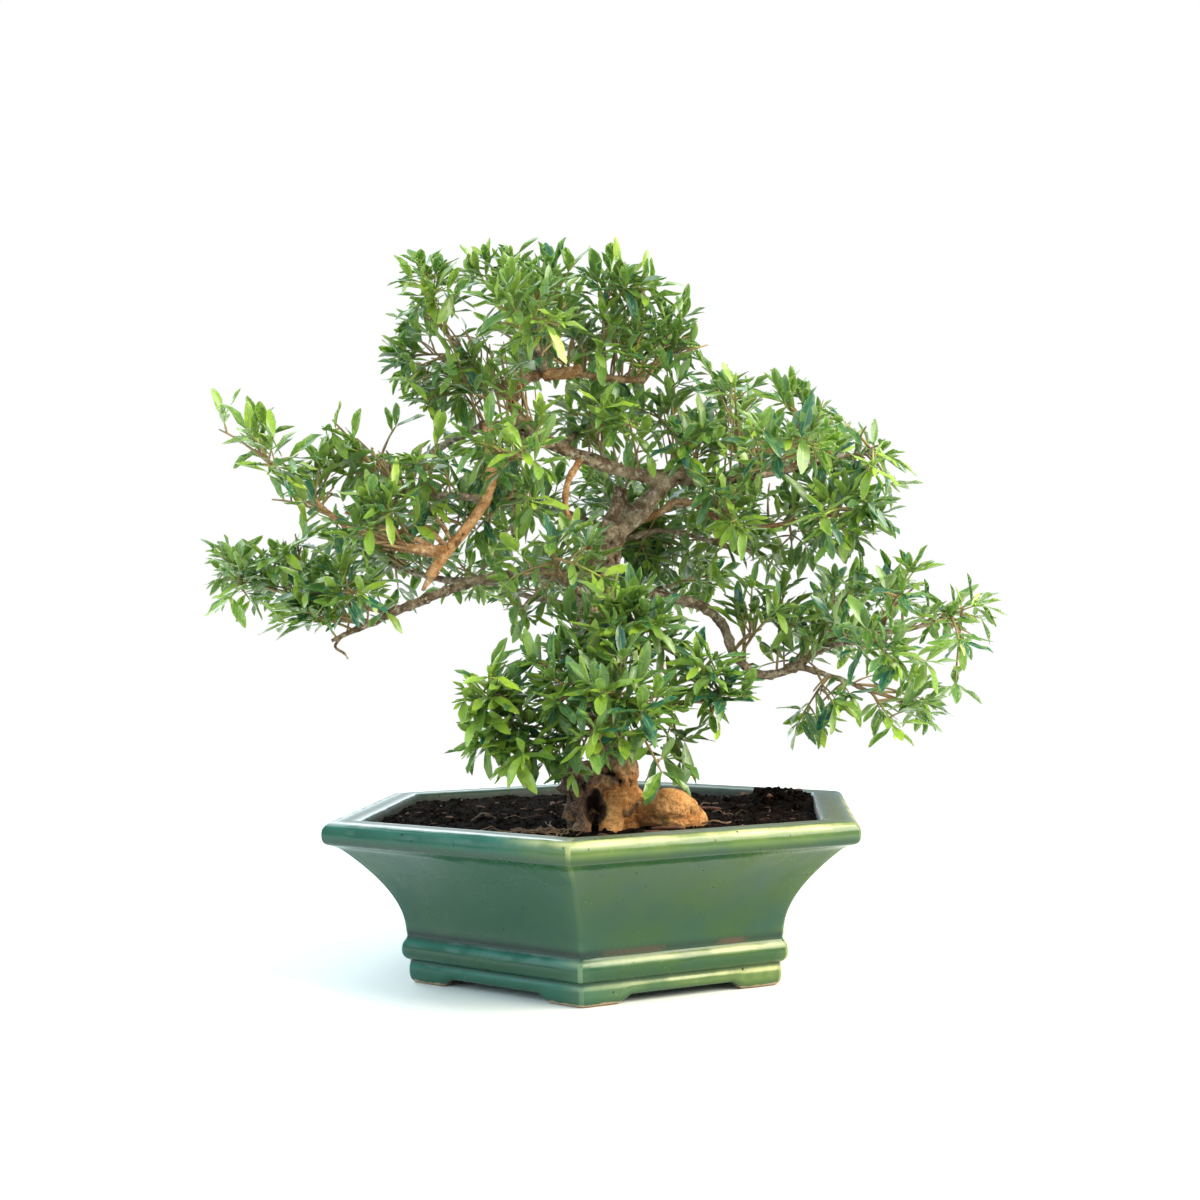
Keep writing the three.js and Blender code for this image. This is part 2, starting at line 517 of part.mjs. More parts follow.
// The direction out of one side of a stem
function outOf(side, { across, beside }) {
  const angle = ((side + 0.5) * 2 * Math.PI) / SHOOT_SIDES;
  return across.clone().multiplyScalar(Math.cos(angle)).addScaledVector(beside, Math.sin(angle));
}

// Ways for a leaf to stand on one side of a stem: a whorl has an inner pair that rises and an outer pair
function* leafChoices(root, side, frame, seed) {
  const length = LEAF_LENGTH * (1 + 0.16 * vary(seed, 3));
  const usual = (side % 2 === 0 ? INNER_RISE : OUTER_RISE) + 0.2 * vary(seed, 4);
  for (const swing of [0.25 * vary(seed, 5), 0.5, -0.5, 0.8, -0.8]) {
    for (const rise of [usual, 0.6, 0.1, 1.1]) {
      const outward = outOf(side, frame).applyAxisAngle(frame.along, swing);
      const direction = outward.multiplyScalar(Math.cos(rise)).addScaledVector(frame.along, Math.sin(rise));
      const light = frame.along.clone().addScaledVector(UP, LEAF_LIGHT);
      yield new Leaf(root, direction, light.projectOnPlane(direction).normalize(), length);
    }
  }
}

// A stem and its leaves as one solid. A node says how far along the stem it is and which sides bear leaves.
function growShoot(stem, spray, nodes, seed) {
  const thick = LEAF_THICKNESS / stem.length;
  const stops = [0, ...nodes.flatMap(({ at }) => [at - thick, at])];
  const bare = stem.rings(stops);
  const leaves = [];
  nodes.forEach(({ sides }, i) => {
    const ring = 2 * i + 1;
    for (const side of sides) {
      const next = (side + 1) % SHOOT_SIDES;
      const low = ring * SHOOT_SIDES;
      const high = low + SHOOT_SIDES;
      const root = [high + side, high + next, low + next, low + side];
      const leafSeed = 10 * seed + 4 * i + side;
      const corners = root.map((k) => bare.points[k]);
      const choices = leafChoices(corners, side, bare.frames[ring], leafSeed);
      const leaf = firstClear(choices, (choice) => choice.solid, (other) => other.solid === stem.solid);
      if (leaf) {
        place(leaf.solid, spray);
        leaves.push({ ring, side, root, leaf });
      }
    }
  });
  const isOpen = (i, j) => leaves.some(({ ring, side }) => ring === i && side === j);
  const { points, corners } = stem.rings(stops, isOpen);
  for (const { root, leaf } of leaves) {
    const base = points.length - root.length;
    points.push(...leaf.blade);
    corners.push(...LEAF_FACES.map((k) => (k < root.length ? root[k] : base + k)));
  }
  return solidFrom({ points, corners });
}

// How far to either side a stem can bow, as a share of its length
const BOWS = [0, 0.1, -0.1, 0.2, -0.2, 0.3, -0.3];
const WHORL = { at: 1, sides: [0, 1, 2, 3] };
const PAIRS = [{ at: PAIR_AT, sides: [0, 2] }, { at: PAIR_AT, sides: [1, 3] }];

// Ways for the main stem of a spray to start beside its limb
function* mainStems(limb, at, tip, turn) {
  const base = limb.curve.getPoint(at);
  const aim = tip.clone().sub(base).normalize();
  for (const bow of BOWS) {
    for (let away = 0.7 * limb.radius(at); away < 3 * limb.radius(at) + 4; away += 0.1) {
      yield new Stem(base.clone().addScaledVector(aim, away), tip, bow, 1, turn);
    }
  }
}

// The stems of a spray: the main one starts just clear of its limb, and the others start inside it
function stemsOf(spray, limb, at, tips, seed) {
  const [mainTip, ...sideTips] = tips.map((tip) => new THREE.Vector3(...tip));
  const isOwn = (other) => other.spray === spray;
  const main = firstClear(mainStems(limb, at, mainTip, 3 * vary(seed, 1)), (stem) => stem.solid, isOwn);
  const sides = sideTips.map((tip, i) => {
    const start = main.curve.getPoint(0.3 + 0.15 * i);
    const choices = BOWS.map((bow) => new Stem(start, tip, bow, SIDE_SHOOT_THICKNESS, 3 * vary(seed, i + 2)));
    return firstClear(choices, (stem) => stem.solid, isOwn);
  });
  const stems = [main, ...sides.filter((stem) => stem)];
  for (const stem of stems) place(stem.solid, spray);
  return stems;
}

const wood = buildWood();
place(wood, "tree_wood");
const limbs = { ...thickLimbs, ...thinLimbs };
const sprays = SPRAYS.map(([name, limb, at, ...tips], seed) => {
  return { name, stems: stemsOf(name, limbs[limb], at, tips, seed) };
});

const bonsai = new THREE.Group();
bonsai.add(meshOf(buildPot(), "pot", glaze));
bonsai.add(meshOf(buildSoil(trunkAndRoots(ROOT_CLEARANCE)), "soil", soil));
bonsai.add(meshOf(wood, "tree_wood", bark));
sprays.forEach(({ name, stems }, seed) => {
  const nodes = [PAIRS[seed % PAIRS.length], WHORL];
  const shoots = stems.map((stem, i) => growShoot(stem, name, i === 0 ? nodes : [WHORL], 10 * seed + i));
  bonsai.add(meshOf(wasm.Manifold.union(shoots), `spray_${name}`, foliage));
});

export default bonsai;
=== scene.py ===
"""A serissa bonsai in its glazed hexagonal pot, dressed and lit for a portrait.

Every object is in metres with +Z up and stands on Z = 0, and the front of the tree faces -Y. Sizes and
the rows of the wood are written in millimetres, as they would be measured, and MM turns them into metres.
"""

from __future__ import annotations

import logging
import math
from dataclasses import dataclass
from enum import Enum

import bmesh
import bpy
import numpy as np
from mathutils import Matrix, Vector
from mathutils.kdtree import KDTree

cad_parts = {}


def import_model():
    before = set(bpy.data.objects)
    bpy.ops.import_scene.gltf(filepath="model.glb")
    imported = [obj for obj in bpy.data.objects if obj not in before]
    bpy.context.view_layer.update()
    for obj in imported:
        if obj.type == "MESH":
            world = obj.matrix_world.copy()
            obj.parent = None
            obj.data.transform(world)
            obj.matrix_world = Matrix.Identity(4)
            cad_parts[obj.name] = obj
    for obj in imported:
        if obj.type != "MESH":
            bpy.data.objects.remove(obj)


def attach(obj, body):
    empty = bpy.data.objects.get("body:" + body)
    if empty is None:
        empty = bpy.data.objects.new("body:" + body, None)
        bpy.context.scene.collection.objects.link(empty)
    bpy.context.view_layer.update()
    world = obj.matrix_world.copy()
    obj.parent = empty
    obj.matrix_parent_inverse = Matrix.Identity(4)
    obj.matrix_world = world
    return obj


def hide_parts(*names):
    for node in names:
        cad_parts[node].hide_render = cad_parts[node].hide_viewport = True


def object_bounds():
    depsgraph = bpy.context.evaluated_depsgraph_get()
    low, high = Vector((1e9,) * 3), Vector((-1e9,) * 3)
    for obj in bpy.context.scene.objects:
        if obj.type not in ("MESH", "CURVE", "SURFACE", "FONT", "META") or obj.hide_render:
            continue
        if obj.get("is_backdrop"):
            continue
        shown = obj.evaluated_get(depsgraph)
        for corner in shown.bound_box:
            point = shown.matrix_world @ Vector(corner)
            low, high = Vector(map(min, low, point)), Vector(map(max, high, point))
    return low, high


MM = 0.001
BODY = "root"
UP = np.array([0.0, 0.0, 1.0])
POT_TURN = math.radians(-5.6)

Array = np.ndarray
Place = tuple[float, float, float]
Row = tuple[float, float, float, float]
Rows = list[Row]
Colour = Row
Socket = bpy.types.NodeSocket
Material = bpy.types.Material

log = logging.getLogger("bonsai")


@dataclass(frozen=True)
class Spray:
    """A leafy spray: its pad, its name, the limb that bears it, how far along, and its shoots' tips."""

    pad: str
    name: str
    limb: str
    at: float
    tips: tuple[Place, ...]


# Woody growth, bottom to top. Each row is x, y, z and radius along the middle of the wood, in millimetres.
ROOTS: dict[str, Rows] = {
    "bulb_root": [
        (12, -50, 92, 11), (23, -57, 89, 8), (34, -60, 92, 11.5), (43, -55, 87, 9.4), (51, -44, 80, 6.4),
        (57, -30, 70, 4),
    ],
    "dead_root": [
        (4, -52, 104, 8), (-7, -57, 107, 8), (-15, -60, 107, 7.2), (-12, -62, 95, 5),
        (-9, -62, 70, 4.5),
    ],
    "front_leg": [(-5, -60, 98, 7.2), (-8, -70, 93, 5.4), (-9.5, -78, 83, 4.2), (-9.5, -80, 70, 4.2)],
    "middle_leg": [(6, -60, 94, 9), (5, -72, 87, 7), (4, -79, 79, 5.5), (4, -80, 70, 5)],
    "back_left_root": [(4, -46, 94, 9), (-8, -30, 86, 7), (-18, -16, 80, 5), (-26, -6, 70, 3.5)],
    "back_right_root": [(12, -44, 92, 9), (24, -28, 86, 6.5), (34, -14, 80, 5), (40, -4, 70, 3.5)],
}

THICK_LIMBS: dict[str, Rows] = {
    "right_limb": [
        (8, 0, 236, 5.6), (18, 0, 246, 5.8), (27, 0, 254, 5.6), (40, 0, 267, 5), (52, 0, 271, 4.6),
    ],
    "long_left": [
        (54, 0, 271, 4.6), (24, -5, 271, 4.2), (2, -10, 278, 4), (-22, -15, 287, 3.9),
        (-39, -15, 296, 3.6), (-64, -15, 299, 2.8),
    ],
    "apex": [
        (-34, -15, 294, 3.4), (-46, -8, 311, 3.2), (-40, 0, 326, 3), (-20, 0, 331, 2.7), (3, 0, 327, 2.3),
        (28, 0, 325, 1.7),
    ],
    "left_mid": [
        (-60, -15, 299, 3), (-58, -30, 284, 3.1), (-58, -40, 260, 3.3), (-70, -45, 240, 3.2),
        (-82, -48, 225, 3), (-89, -50, 214, 2.7),
    ],
}

THIN_LIMBS: dict[str, Rows] = {
    "long_right": [
        (48, 0, 270, 4), (80, 0, 269, 2.5), (112, 4, 275, 2.1), (138, 5, 281, 1.6), (150, 5, 282, 1.1),
    ],
    "cut_stub": [(-28, -4, 328, 2.6), (-16, -9, 328, 3), (-8, -12, 330, 3.1)],
    "apex_left": [(-44, -6, 313, 2.4), (-62, -6, 328, 2), (-76, -4, 344, 1.6), (-86, -2, 356, 1.1)],
    "apex_mid": [(-30, 0, 330, 2), (-34, 2, 346, 1.7), (-38, 8, 362, 1.2)],
    "apex_right": [(2, 0, 327, 1.9), (4, -2, 343, 1.6), (6, -4, 358, 1.1)],
    "apex_front": [(-28, 0, 330, 2), (-30, -26, 336, 1.6), (-34, -46, 344, 1.1)],
    "apex_back": [(-34, 0, 328, 2.2), (-34, 30, 338, 1.8), (-30, 58, 348, 1.3), (-26, 80, 352, 1)],
    "loop_twig": [
        (-8, -12, 281, 1.9), (-16, -20, 266, 1.7), (-17, -22, 250, 1.7), (-11, -18, 238, 1.6),
        (-3, -8, 228, 1.6),
    ],
    "left_mid_out": [
        (-80, -48, 228, 2.4), (-105, -50, 231, 2.1), (-134, -50, 243, 1.7), (-172, -50, 274, 1),
    ],
    "left_mid_up": [(-59, -40, 256, 2.2), (-76, -40, 258, 1.8), (-96, -36, 258, 1.4), (-114, -28, 262, 1)],
    "left_mid_back": [(-62, -15, 299, 2.2), (-84, 4, 292, 1.9), (-106, 28, 284, 1.5), (-122, 50, 282, 1.1)],
    "left_low": [
        (-2, -8, 208, 4.6), (-30, -2, 217, 3.3), (-70, -20, 212, 2.7), (-91, -30, 204, 2.5),
        (-110, -35, 196, 2.4), (-128, -39, 188, 1.7), (-143, -41, 181, 1),
    ],
    "left_low_out": [
        (-108, -35, 197, 1.9), (-136, -30, 200, 1.7), (-166, -18, 206, 1.3), (-188, -4, 212, 1),
    ],
    "left_low_back": [(-70, -20, 212, 2.1), (-94, 4, 216, 1.8), (-118, 30, 224, 1.4), (-134, 54, 232, 1)],
    "right_low": [
        (0, -8, 203, 4.4), (20, 6, 206, 3.4), (38, 10, 203, 3), (58, 10, 198, 2.8), (70, 10, 187, 2.7),
        (77, 10, 170, 2.6), (89, 10, 159, 2.5), (108, 10, 161, 2.3), (125, 10, 172, 2.1),
        (142, 10, 182, 1.8), (168, 8, 182, 1.4), (190, 4, 187, 1),
    ],
    "right_low_down": [(112, 10, 163, 1.8), (134, 4, 156, 1.4), (152, 0, 148, 1)],
    "right_low_back": [(106, 10, 161, 1.9), (118, 34, 170, 1.6), (130, 60, 184, 1.1)],
    "right_low_front": [(125, 10, 172, 1.8), (134, -18, 176, 1.4), (146, -44, 176, 1)],
    "right_mid": [
        (6, 0, 240, 2.6), (33, 5, 250, 2), (44, 5, 257, 1.9), (56, 5, 255, 1.8), (70, 5, 246, 1.6),
        (92, 2, 242, 1.4), (118, 0, 246, 1.2), (136, 4, 248, 1),
    ],
    "right_mid_low": [
        (6, 0, 232, 2.2), (18, 18, 238, 1.9), (36, 24, 242, 1.6), (58, 30, 238, 1.3), (76, 34, 232, 1),
    ],
    "right_up_back": [(78, 0, 269, 2), (84, 30, 280, 1.6), (84, 60, 292, 1.1)],
    "right_up_front": [(82, 0, 269, 2), (92, -30, 272, 1.6), (96, -58, 272, 1.1)],
    "right_back": [(112, 4, 275, 1.8), (122, 34, 282, 1.4), (130, 60, 284, 1)],
    "bar_front": [(-24, -15, 288, 2), (-34, -34, 284, 1.6), (-46, -48, 276, 1.1)],
    "left_inner": [(-40, -15, 296, 2.2), (-44, -8, 278, 1.8), (-48, -6, 260, 1.4), (-44, -4, 246, 1)],
    "mid_front": [(-4, -10, 204, 2.6), (-14, -30, 208, 2), (-22, -46, 214, 1.4)],
    "front_mid": [(0, -36, 144, 3), (2, -58, 150, 2.4), (6, -80, 152, 1.9), (10, -98, 150, 1.2)],
    "front_left": [(-1, -40, 136, 2.6), (-20, -60, 138, 2), (-38, -72, 140, 1.5), (-50, -80, 142, 1.1)],
    "front_right": [(3, -38, 142, 2.4), (22, -54, 144, 1.9), (40, -64, 146, 1.4), (54, -70, 148, 1)],
    "front_high": [(-3, -24, 160, 2.4), (8, -44, 168, 1.9), (16, -62, 174, 1.2)],
    "back_low": [
        (-4, -12, 184, 3.4), (-8, 20, 194, 2.8), (-14, 50, 202, 2.3), (-20, 80, 210, 1.7),
        (-24, 104, 216, 1.1),
    ],
    "back_low_left": [(-10, 34, 198, 2), (-42, 60, 206, 1.7), (-72, 80, 216, 1.1)],
    "back_low_right": [(-11, 38, 199, 2), (22, 62, 206, 1.7), (52, 82, 214, 1.1)],
    "back_mid": [
        (3, -4, 228, 3.2), (6, 26, 242, 2.6), (10, 56, 254, 2.1), (14, 84, 264, 1.6), (16, 106, 270, 1.1),
    ],
    "back_mid_left": [(7, 32, 244, 2), (-26, 60, 258, 1.7), (-54, 84, 268, 1.1)],
    "back_mid_right": [(7, 30, 244, 2), (40, 58, 256, 1.7), (70, 82, 266, 1.1)],
    "back_top": [(-20, -14, 286, 2.6), (-12, 22, 298, 2.1), (-2, 54, 308, 1.6), (6, 80, 314, 1.1)],
}

TRUNK: Rows = [
    (8, -48, 70, 17), (9, -50, 86, 15), (9, -50, 102, 11.8), (7.5, -48, 120, 9.4), (0, -33, 147, 9),
    (-4, -17, 176, 8.6), (-5, -9, 199, 8.2), (3, -5, 224, 7.6), (9, 0, 243, 6.8), (13, 5, 265, 4.6),
]

# The leafy sprays of each pad: the limb that bears it, how far along that limb, and its shoots' tips
PADS: dict[str, list[tuple]] = {
    "crown": [
        ("apex_left", 1, ((-96, -15, 384), (-105, 6, 362), (-84, -44, 368))),
        ("apex_left", 0.55, ((-110, 14, 342), (-102, -26, 322))),
        ("apex_mid", 1, ((-46, -5, 393), (-68, 8, 386), (-30, 34, 394))),
        ("apex_mid", 0.5, ((-14, -30, 380), (-40, -44, 370))),
        ("apex_right", 1, ((10, 2, 391), (30, -22, 372))),
        ("apex", 1, ((50, 20, 364), (58, 2, 344))),
        ("apex_front", 1, ((-50, -78, 352), (-20, -76, 344))),
        ("apex_back", 0.55, ((-60, 66, 368), (-14, 62, 384))),
        ("apex_back", 1, ((-6, 108, 350), (-46, 102, 352))),
    ],
    "shelf": [
        ("long_left", 0.38, ((-6, 28, 314), (4, -28, 306))),
        ("right_limb", 0.9, ((40, -8, 328), (24, 22, 318))),
        ("long_right", 0.3, ((66, 12, 330), (76, -26, 316))),
        ("long_right", 0.6, ((104, -4, 316), (122, 12, 312))),
        ("long_right", 1, ((158, -6, 286), (166, 10, 266), (132, -36, 295), (148, -42, 270))),
        ("right_back", 1, ((146, 74, 284), (128, 92, 294))),
        ("right_up_back", 1, ((92, 94, 318), (62, 92, 310), (70, 50, 324))),
        ("right_up_front", 1, ((84, -90, 284), (114, -80, 278))),
    ],
    "middle": [
        ("right_mid", 0.55, ((62, -38, 260), (78, -36, 238))),
        ("right_mid", 1, ((160, 8, 248), (146, -28, 254), (120, -50, 244), (118, 36, 252))),
        ("right_mid_low", 1, ((92, 64, 236), (104, 46, 222), (52, 62, 238))),
    ],
    "low_right": [
        ("right_low", 0.47, ((96, -30, 194), (84, -22, 206))),
        ("right_low", 0.75, ((148, 2, 208), (136, 42, 206))),
        ("right_low", 1, ((214, 2, 198), (196, -26, 176), (188, 32, 190), (202, 12, 152))),
        ("right_low", 0.88, ((174, -12, 214), (162, -46, 202))),
        ("right_low_front", 1, ((146, -78, 170), (170, -62, 166))),
        ("right_low_down", 1, ((162, -10, 130), (182, 4, 142))),
        ("right_low_down", 0.4, ((112, 4, 132), (128, -22, 142))),
        ("right_low_back", 1, ((136, 90, 192), (154, 72, 176))),
    ],
    "mid_left": [
        ("left_mid_out", 1, ((-180, -50, 286), (-168, -76, 268))),
        ("left_mid_out", 0.7, ((-176, -32, 258), (-146, -26, 274))),
        ("left_mid_up", 1, ((-130, -40, 288), (-118, -6, 284))),
        ("left_mid_up", 0.5, ((-96, -62, 274), (-84, -52, 286))),
        ("left_mid_out", 0.3, ((-114, -80, 252), (-126, -74, 234))),
        ("left_mid_back", 1, ((-140, 70, 292), (-112, 82, 288), (-116, 24, 304))),
    ],
    "low_left": [
        ("left_low_out", 1, ((-211, 10, 221), (-198, -36, 205))),
        ("left_low_out", 0.7, ((-180, 24, 222), (-168, -38, 228))),
        ("left_low_out", 0.3, ((-150, -68, 208), (-122, -80, 204))),
        ("left_low", 0.8, ((-166, -50, 191), (-152, -66, 196))),
        ("left_low_back", 1, ((-158, 66, 240), (-132, 86, 236))),
        ("left_low_back", 0.5, ((-138, 20, 236), (-104, 48, 226))),
    ],
    "inner": [
        ("bar_front", 1, ((-60, -74, 282), (-32, -72, 272))),
        ("left_inner", 0.6, ((-34, -38, 254), (-66, -30, 240))),
        ("mid_front", 1, ((-24, -70, 230), (-46, -60, 212), (2, -60, 212))),
        ("left_inner", 1, ((-56, 28, 238), (-36, 36, 256))),
    ],
    "front": [
        ("front_left", 1, ((-66, -88, 154), (-54, -106, 162))),
        ("front_left", 0.6, ((-62, -92, 126), (-38, -108, 124))),
        ("front_mid", 0.55, ((-32, -96, 168), (-20, -118, 150))),
        ("front_mid", 1, ((2, -128, 154), (-6, -126, 130), (22, -120, 140))),
        ("front_high", 1, ((24, -86, 192), (2, -94, 182))),
        ("front_right", 1, ((68, -82, 158), (60, -92, 134), (50, -98, 166))),
    ],
    "back": [
        ("back_low", 1, ((-36, 132, 222), (-8, 130, 208))),
        ("back_low_left", 1, ((-90, 98, 226), (-66, 112, 212))),
        ("back_low_right", 1, ((70, 102, 218), (46, 112, 204))),
        ("back_mid", 1, ((20, 134, 280), (-6, 130, 266))),
        ("back_mid_left", 1, ((-74, 104, 280), (-50, 114, 262))),
        ("back_mid_right", 1, ((90, 102, 274), (66, 114, 256))),
        ("back_top", 1, ((10, 110, 324), (34, 98, 310), (-28, 96, 316))),
    ],
}

# Bare twigs, in the same four columns as the limbs
BARE_TWIGS: dict[str, Rows] = {
    "fan_1": [(-80, -47, 226, 1.9), (-100, -50, 236, 1.4), (-118, -52, 243, 1.1), (-133, -54, 249, 0.6)],
    "fan_2": [(-82, -48, 226, 1.7), (-104, -54, 232, 1.3), (-126, -58, 240, 0.6)],
    "fan_3": [(-84, -49, 225, 1.5), (-100, -48, 228, 1.1), (-114, -46, 230, 0.6)],
    "fan_4": [(-79, -47, 229, 1.7), (-92, -48, 242, 1.2), (-107, -50, 255, 0.6)],
    "fan_5": [(-77, -46, 232, 1.4), (-84, -44, 244, 1.0), (-92, -44, 254, 0.6)],
    "fan_6": [(-83, -49, 226, 1.5), (-100, -56, 229, 1.1), (-121, -60, 233, 0.6)],
    "broken_tip": [(-86, -49, 218, 2.6), (-90, -50, 212, 1.9), (-93, -51, 207, 0.7)],
    "dry_front": [(6, -30, 186, 1.3), (19, -35, 188, 0.9), (30, -36, 182, 0.8), (35, -38, 167, 0.5)],
    "dry_hook": [(2, -32, 192, 1.3), (0, -50, 197, 0.9), (-2, -68, 195, 0.6)],
    "dry_low": [(-138, -41, 183, 0.9), (-141, -42, 178, 0.8), (-136, -43, 174, 0.6), (-134, -43, 171, 0.5)],
    "stub_root": [(9, -66, 94, 2.2), (13, -74, 90, 1.4), (18, -79, 95, 1.1), (21, -80, 99, 0.5)],
}

# Dry leaves: the bare twig that each hangs from, its length in millimetres and how slim it is
DRY_LEAVES = (("dry_hook", 17, 1.7), ("dry_hook", 11, 1.0), ("dry_front", 9, 0.8), ("fan_4", 10, 0.9))

# Longer shoots that fill out the pads: the limb, how far along it, and the tip in millimetres
FILLERS = (
    ("apex", 0.75, (8, -26, 352)), ("apex", 0.85, (22, -14, 350)), ("apex_right", 0.5, (22, 14, 362)),
    ("apex_left", 0.3, (-84, -24, 318)), ("apex_left", 0.5, (-96, 10, 320)),
    ("apex", 0.1, (-66, -30, 314)), ("apex_left", 0.2, (-72, 22, 312)),
    ("long_right", 0.05, (58, -26, 292)), ("right_limb", 0.9, (50, -32, 287)),
    ("long_left", 0.2, (18, -24, 300)), ("right_mid", 0.9, (128, -20, 234)),
    ("right_mid", 0.8, (112, 24, 230)), ("right_mid", 1.0, (146, 6, 236)),
    ("front_mid", 0.6, (-14, -104, 114)), ("front_mid", 0.8, (30, -108, 114)),
    ("front_right", 0.6, (40, -88, 118)), ("apex", 0.6, (-10, 26, 350)), ("apex", 0.95, (38, 22, 348)),
    ("front_left", 0.5, (-20, -92, 122)), ("front_high", 0.6, (-18, -74, 178)),
    ("left_inner", 0.3, (-64, -34, 268)), ("back_mid", 0.3, (20, 34, 226)),
    ("back_mid", 0.5, (34, 50, 236)), ("right_mid_low", 0.4, (22, 34, 224)),
    ("mid_front", 1.0, (-44, -34, 194)), ("left_mid", 0.6, (-86, -28, 248)),
    ("right_low", 0.6, (104, 0, 206)), ("front_high", 1.0, (40, -66, 176)),
    ("left_mid_up", 1.0, (-142, -38, 300)), ("back_low", 0.4, (14, 40, 206)),
    ("left_low_out", 0.6, (-166, -20, 240)), ("left_mid_out", 1.0, (-200, -50, 294)),
    ("apex_left", 0.15, (-96, -22, 312)), ("right_mid_low", 0.6, (40, 44, 222)),
    ("back_mid", 0.2, (12, 24, 250)),
)

# Bare twigs that stand thick over a limb: the limb, the stretch of it, how many, and how far they reach
THICKETS = (
    ("long_left", 0.78, 1.0, 14, (-12, -4, 38)), ("apex", 0.0, 0.35, 10, (-10, -6, 30)),
    ("apex", 0.45, 0.95, 16, (2, -8, 30)), ("apex_left", 0.1, 0.6, 8, (-4, -8, 22)),
    ("right_limb", 0.75, 1.0, 10, (2, -6, 38)), ("long_right", 0.2, 0.7, 16, (2, -8, 24)),
    ("right_mid", 0.5, 1.0, 10, (2, -6, 18)), ("left_mid_up", 0.3, 1.0, 8, (-4, -4, 18)),
)

# Open spaces between the pads, seen from the front: X and Z of the middle, and half the width and height
OPEN_SPACES = (
    (-114, 299, 24, 12), (-190, 249, 24, 9), (116, 150, 22, 15), (74, 183, 15, 11), (-76, 175, 18, 12),
    (86, 122, 14, 20), (184, 303, 22, 22), (-70, 190, 22, 9), (-222, 304, 16, 11), (-160, 312, 18, 10),
    (-178, 296, 9, 11), (60, 113, 16, 8), (-96, 346, 9, 12), (228, 222, 20, 12), (165, 326, 36, 22),
    (82, 352, 24, 18), (-194, 266, 15, 9), (32, 108, 12, 9), (-94, 150, 10, 30), (-156, 170, 36, 13),
    (-70, 311, 14, 10), (-11, 345, 10, 7), (-106, 414, 30, 11), (-228, 282, 18, 16),
)
VIEW_DISTANCE, VIEW_HEIGHT = 880.4, 181

# Where a short shoot bears a pair of leaves: how far along, the turn of the first in quarters, how far
# they lean towards the tip in radians, and their size. Long shoots bear one more pair, and some a fresh one.
SHORT_NODES = ((0.62, 1, 0.5, 0.9), (0.96, 0, 0.62, 1.05), (1.0, 1, 0.95, 0.85))
LONG_NODE = (0.32, 0, 0.5, 0.8)
FRESH_NODE = (1.0, 0.5, 1.3, 0.5)

# How many short shoots the sprays of one pad bear, where it isn't the usual number
FULLNESS = {
    "front": 16, "crown": 9, "shelf": 6, "middle": 6, "mid_left": 8, "low_left": 12, "low_right": 5,
    "inner": 6,
}

# How corky and how dead some of the wood is, from 0 to 1
CORKY = {
    "bulb_root": 1.0, "middle_leg": 0.8, "left_mid": 0.75, "apex": 0.4, "left_mid_out": 0.6, "cut_stub": 0.7,
    "loop_twig": 0.6, "right_mid": 0.45, "dry_low": 0.08,
}
DEAD = {"dead_root": 0.9, "front_leg": 0.55}

# How much of a limb stays bare of shoots, counted from its thick end
BARE_SHARE = 0.3
BARE_SHARES = {
    "left_low": 0.74, "right_low": 0.62, "loop_twig": 1.0, "cut_stub": 1.0, "long_right": 0.35,
    "left_mid_out": 0.3, "apex_left": 0.25, "right_mid": 0.55,
}


def vary(i: float, k: float) -> float:
    """Give a value from -1 to 1 that is always the same for the same two numbers."""
    wave = math.sin(i * 12.9898 + k * 78.233) * 43758.5453
    return 2.0 * (wave - math.floor(wave)) - 1.0


def unit(vectors: Array) -> Array:
    """Scale vectors to a length of one."""
    return vectors / np.maximum(np.linalg.norm(vectors, axis=-1, keepdims=True), 1e-12)


def square_to(vector: Array, axis: Array) -> Array:
    """Turn a direction until it is square to an axis of length one."""
    return unit(vector - axis * (vector @ axis))


def ease(values: Array, low: float, high: float) -> Array:
    """Turn values into a smooth step from 0 at low to 1 at high."""
    share = np.clip((values - low) / (high - low), 0.0, 1.0)
    return share * share * (3.0 - 2.0 * share)


def bumps(points: Array, width: float, seed: int = 0) -> Array:
    """Give smooth noise over space.

    Args:
        points: Places to read, one per row.
        width: How wide one bump is.
        seed: Picks one of many such noises.

    Returns:
        A value from -1 to 1 for each point.
    """
    spots = points / width + 19.7 * (seed + 1)
    cell = np.floor(spots)
    part = spots - cell
    part = part * part * (3.0 - 2.0 * part)
    total = np.zeros(len(points))
    for corner in np.ndindex(2, 2, 2):
        wave = np.sin((cell + corner) @ (12.9898, 78.233, 37.719)) * 43758.5453
        share = np.prod(np.where(corner, part, 1.0 - part), axis=1)
        total += share * (2.0 * (wave - np.floor(wave)) - 1.0)
    return total


def rough(points: Array, width: float, layers: int, seed: int = 0) -> Array:
    """Add up layers of noise, each half as wide and half as strong as the one before."""
    return sum(0.5**k * bumps(points, width * 0.5**k, seed + k) for k in range(layers))


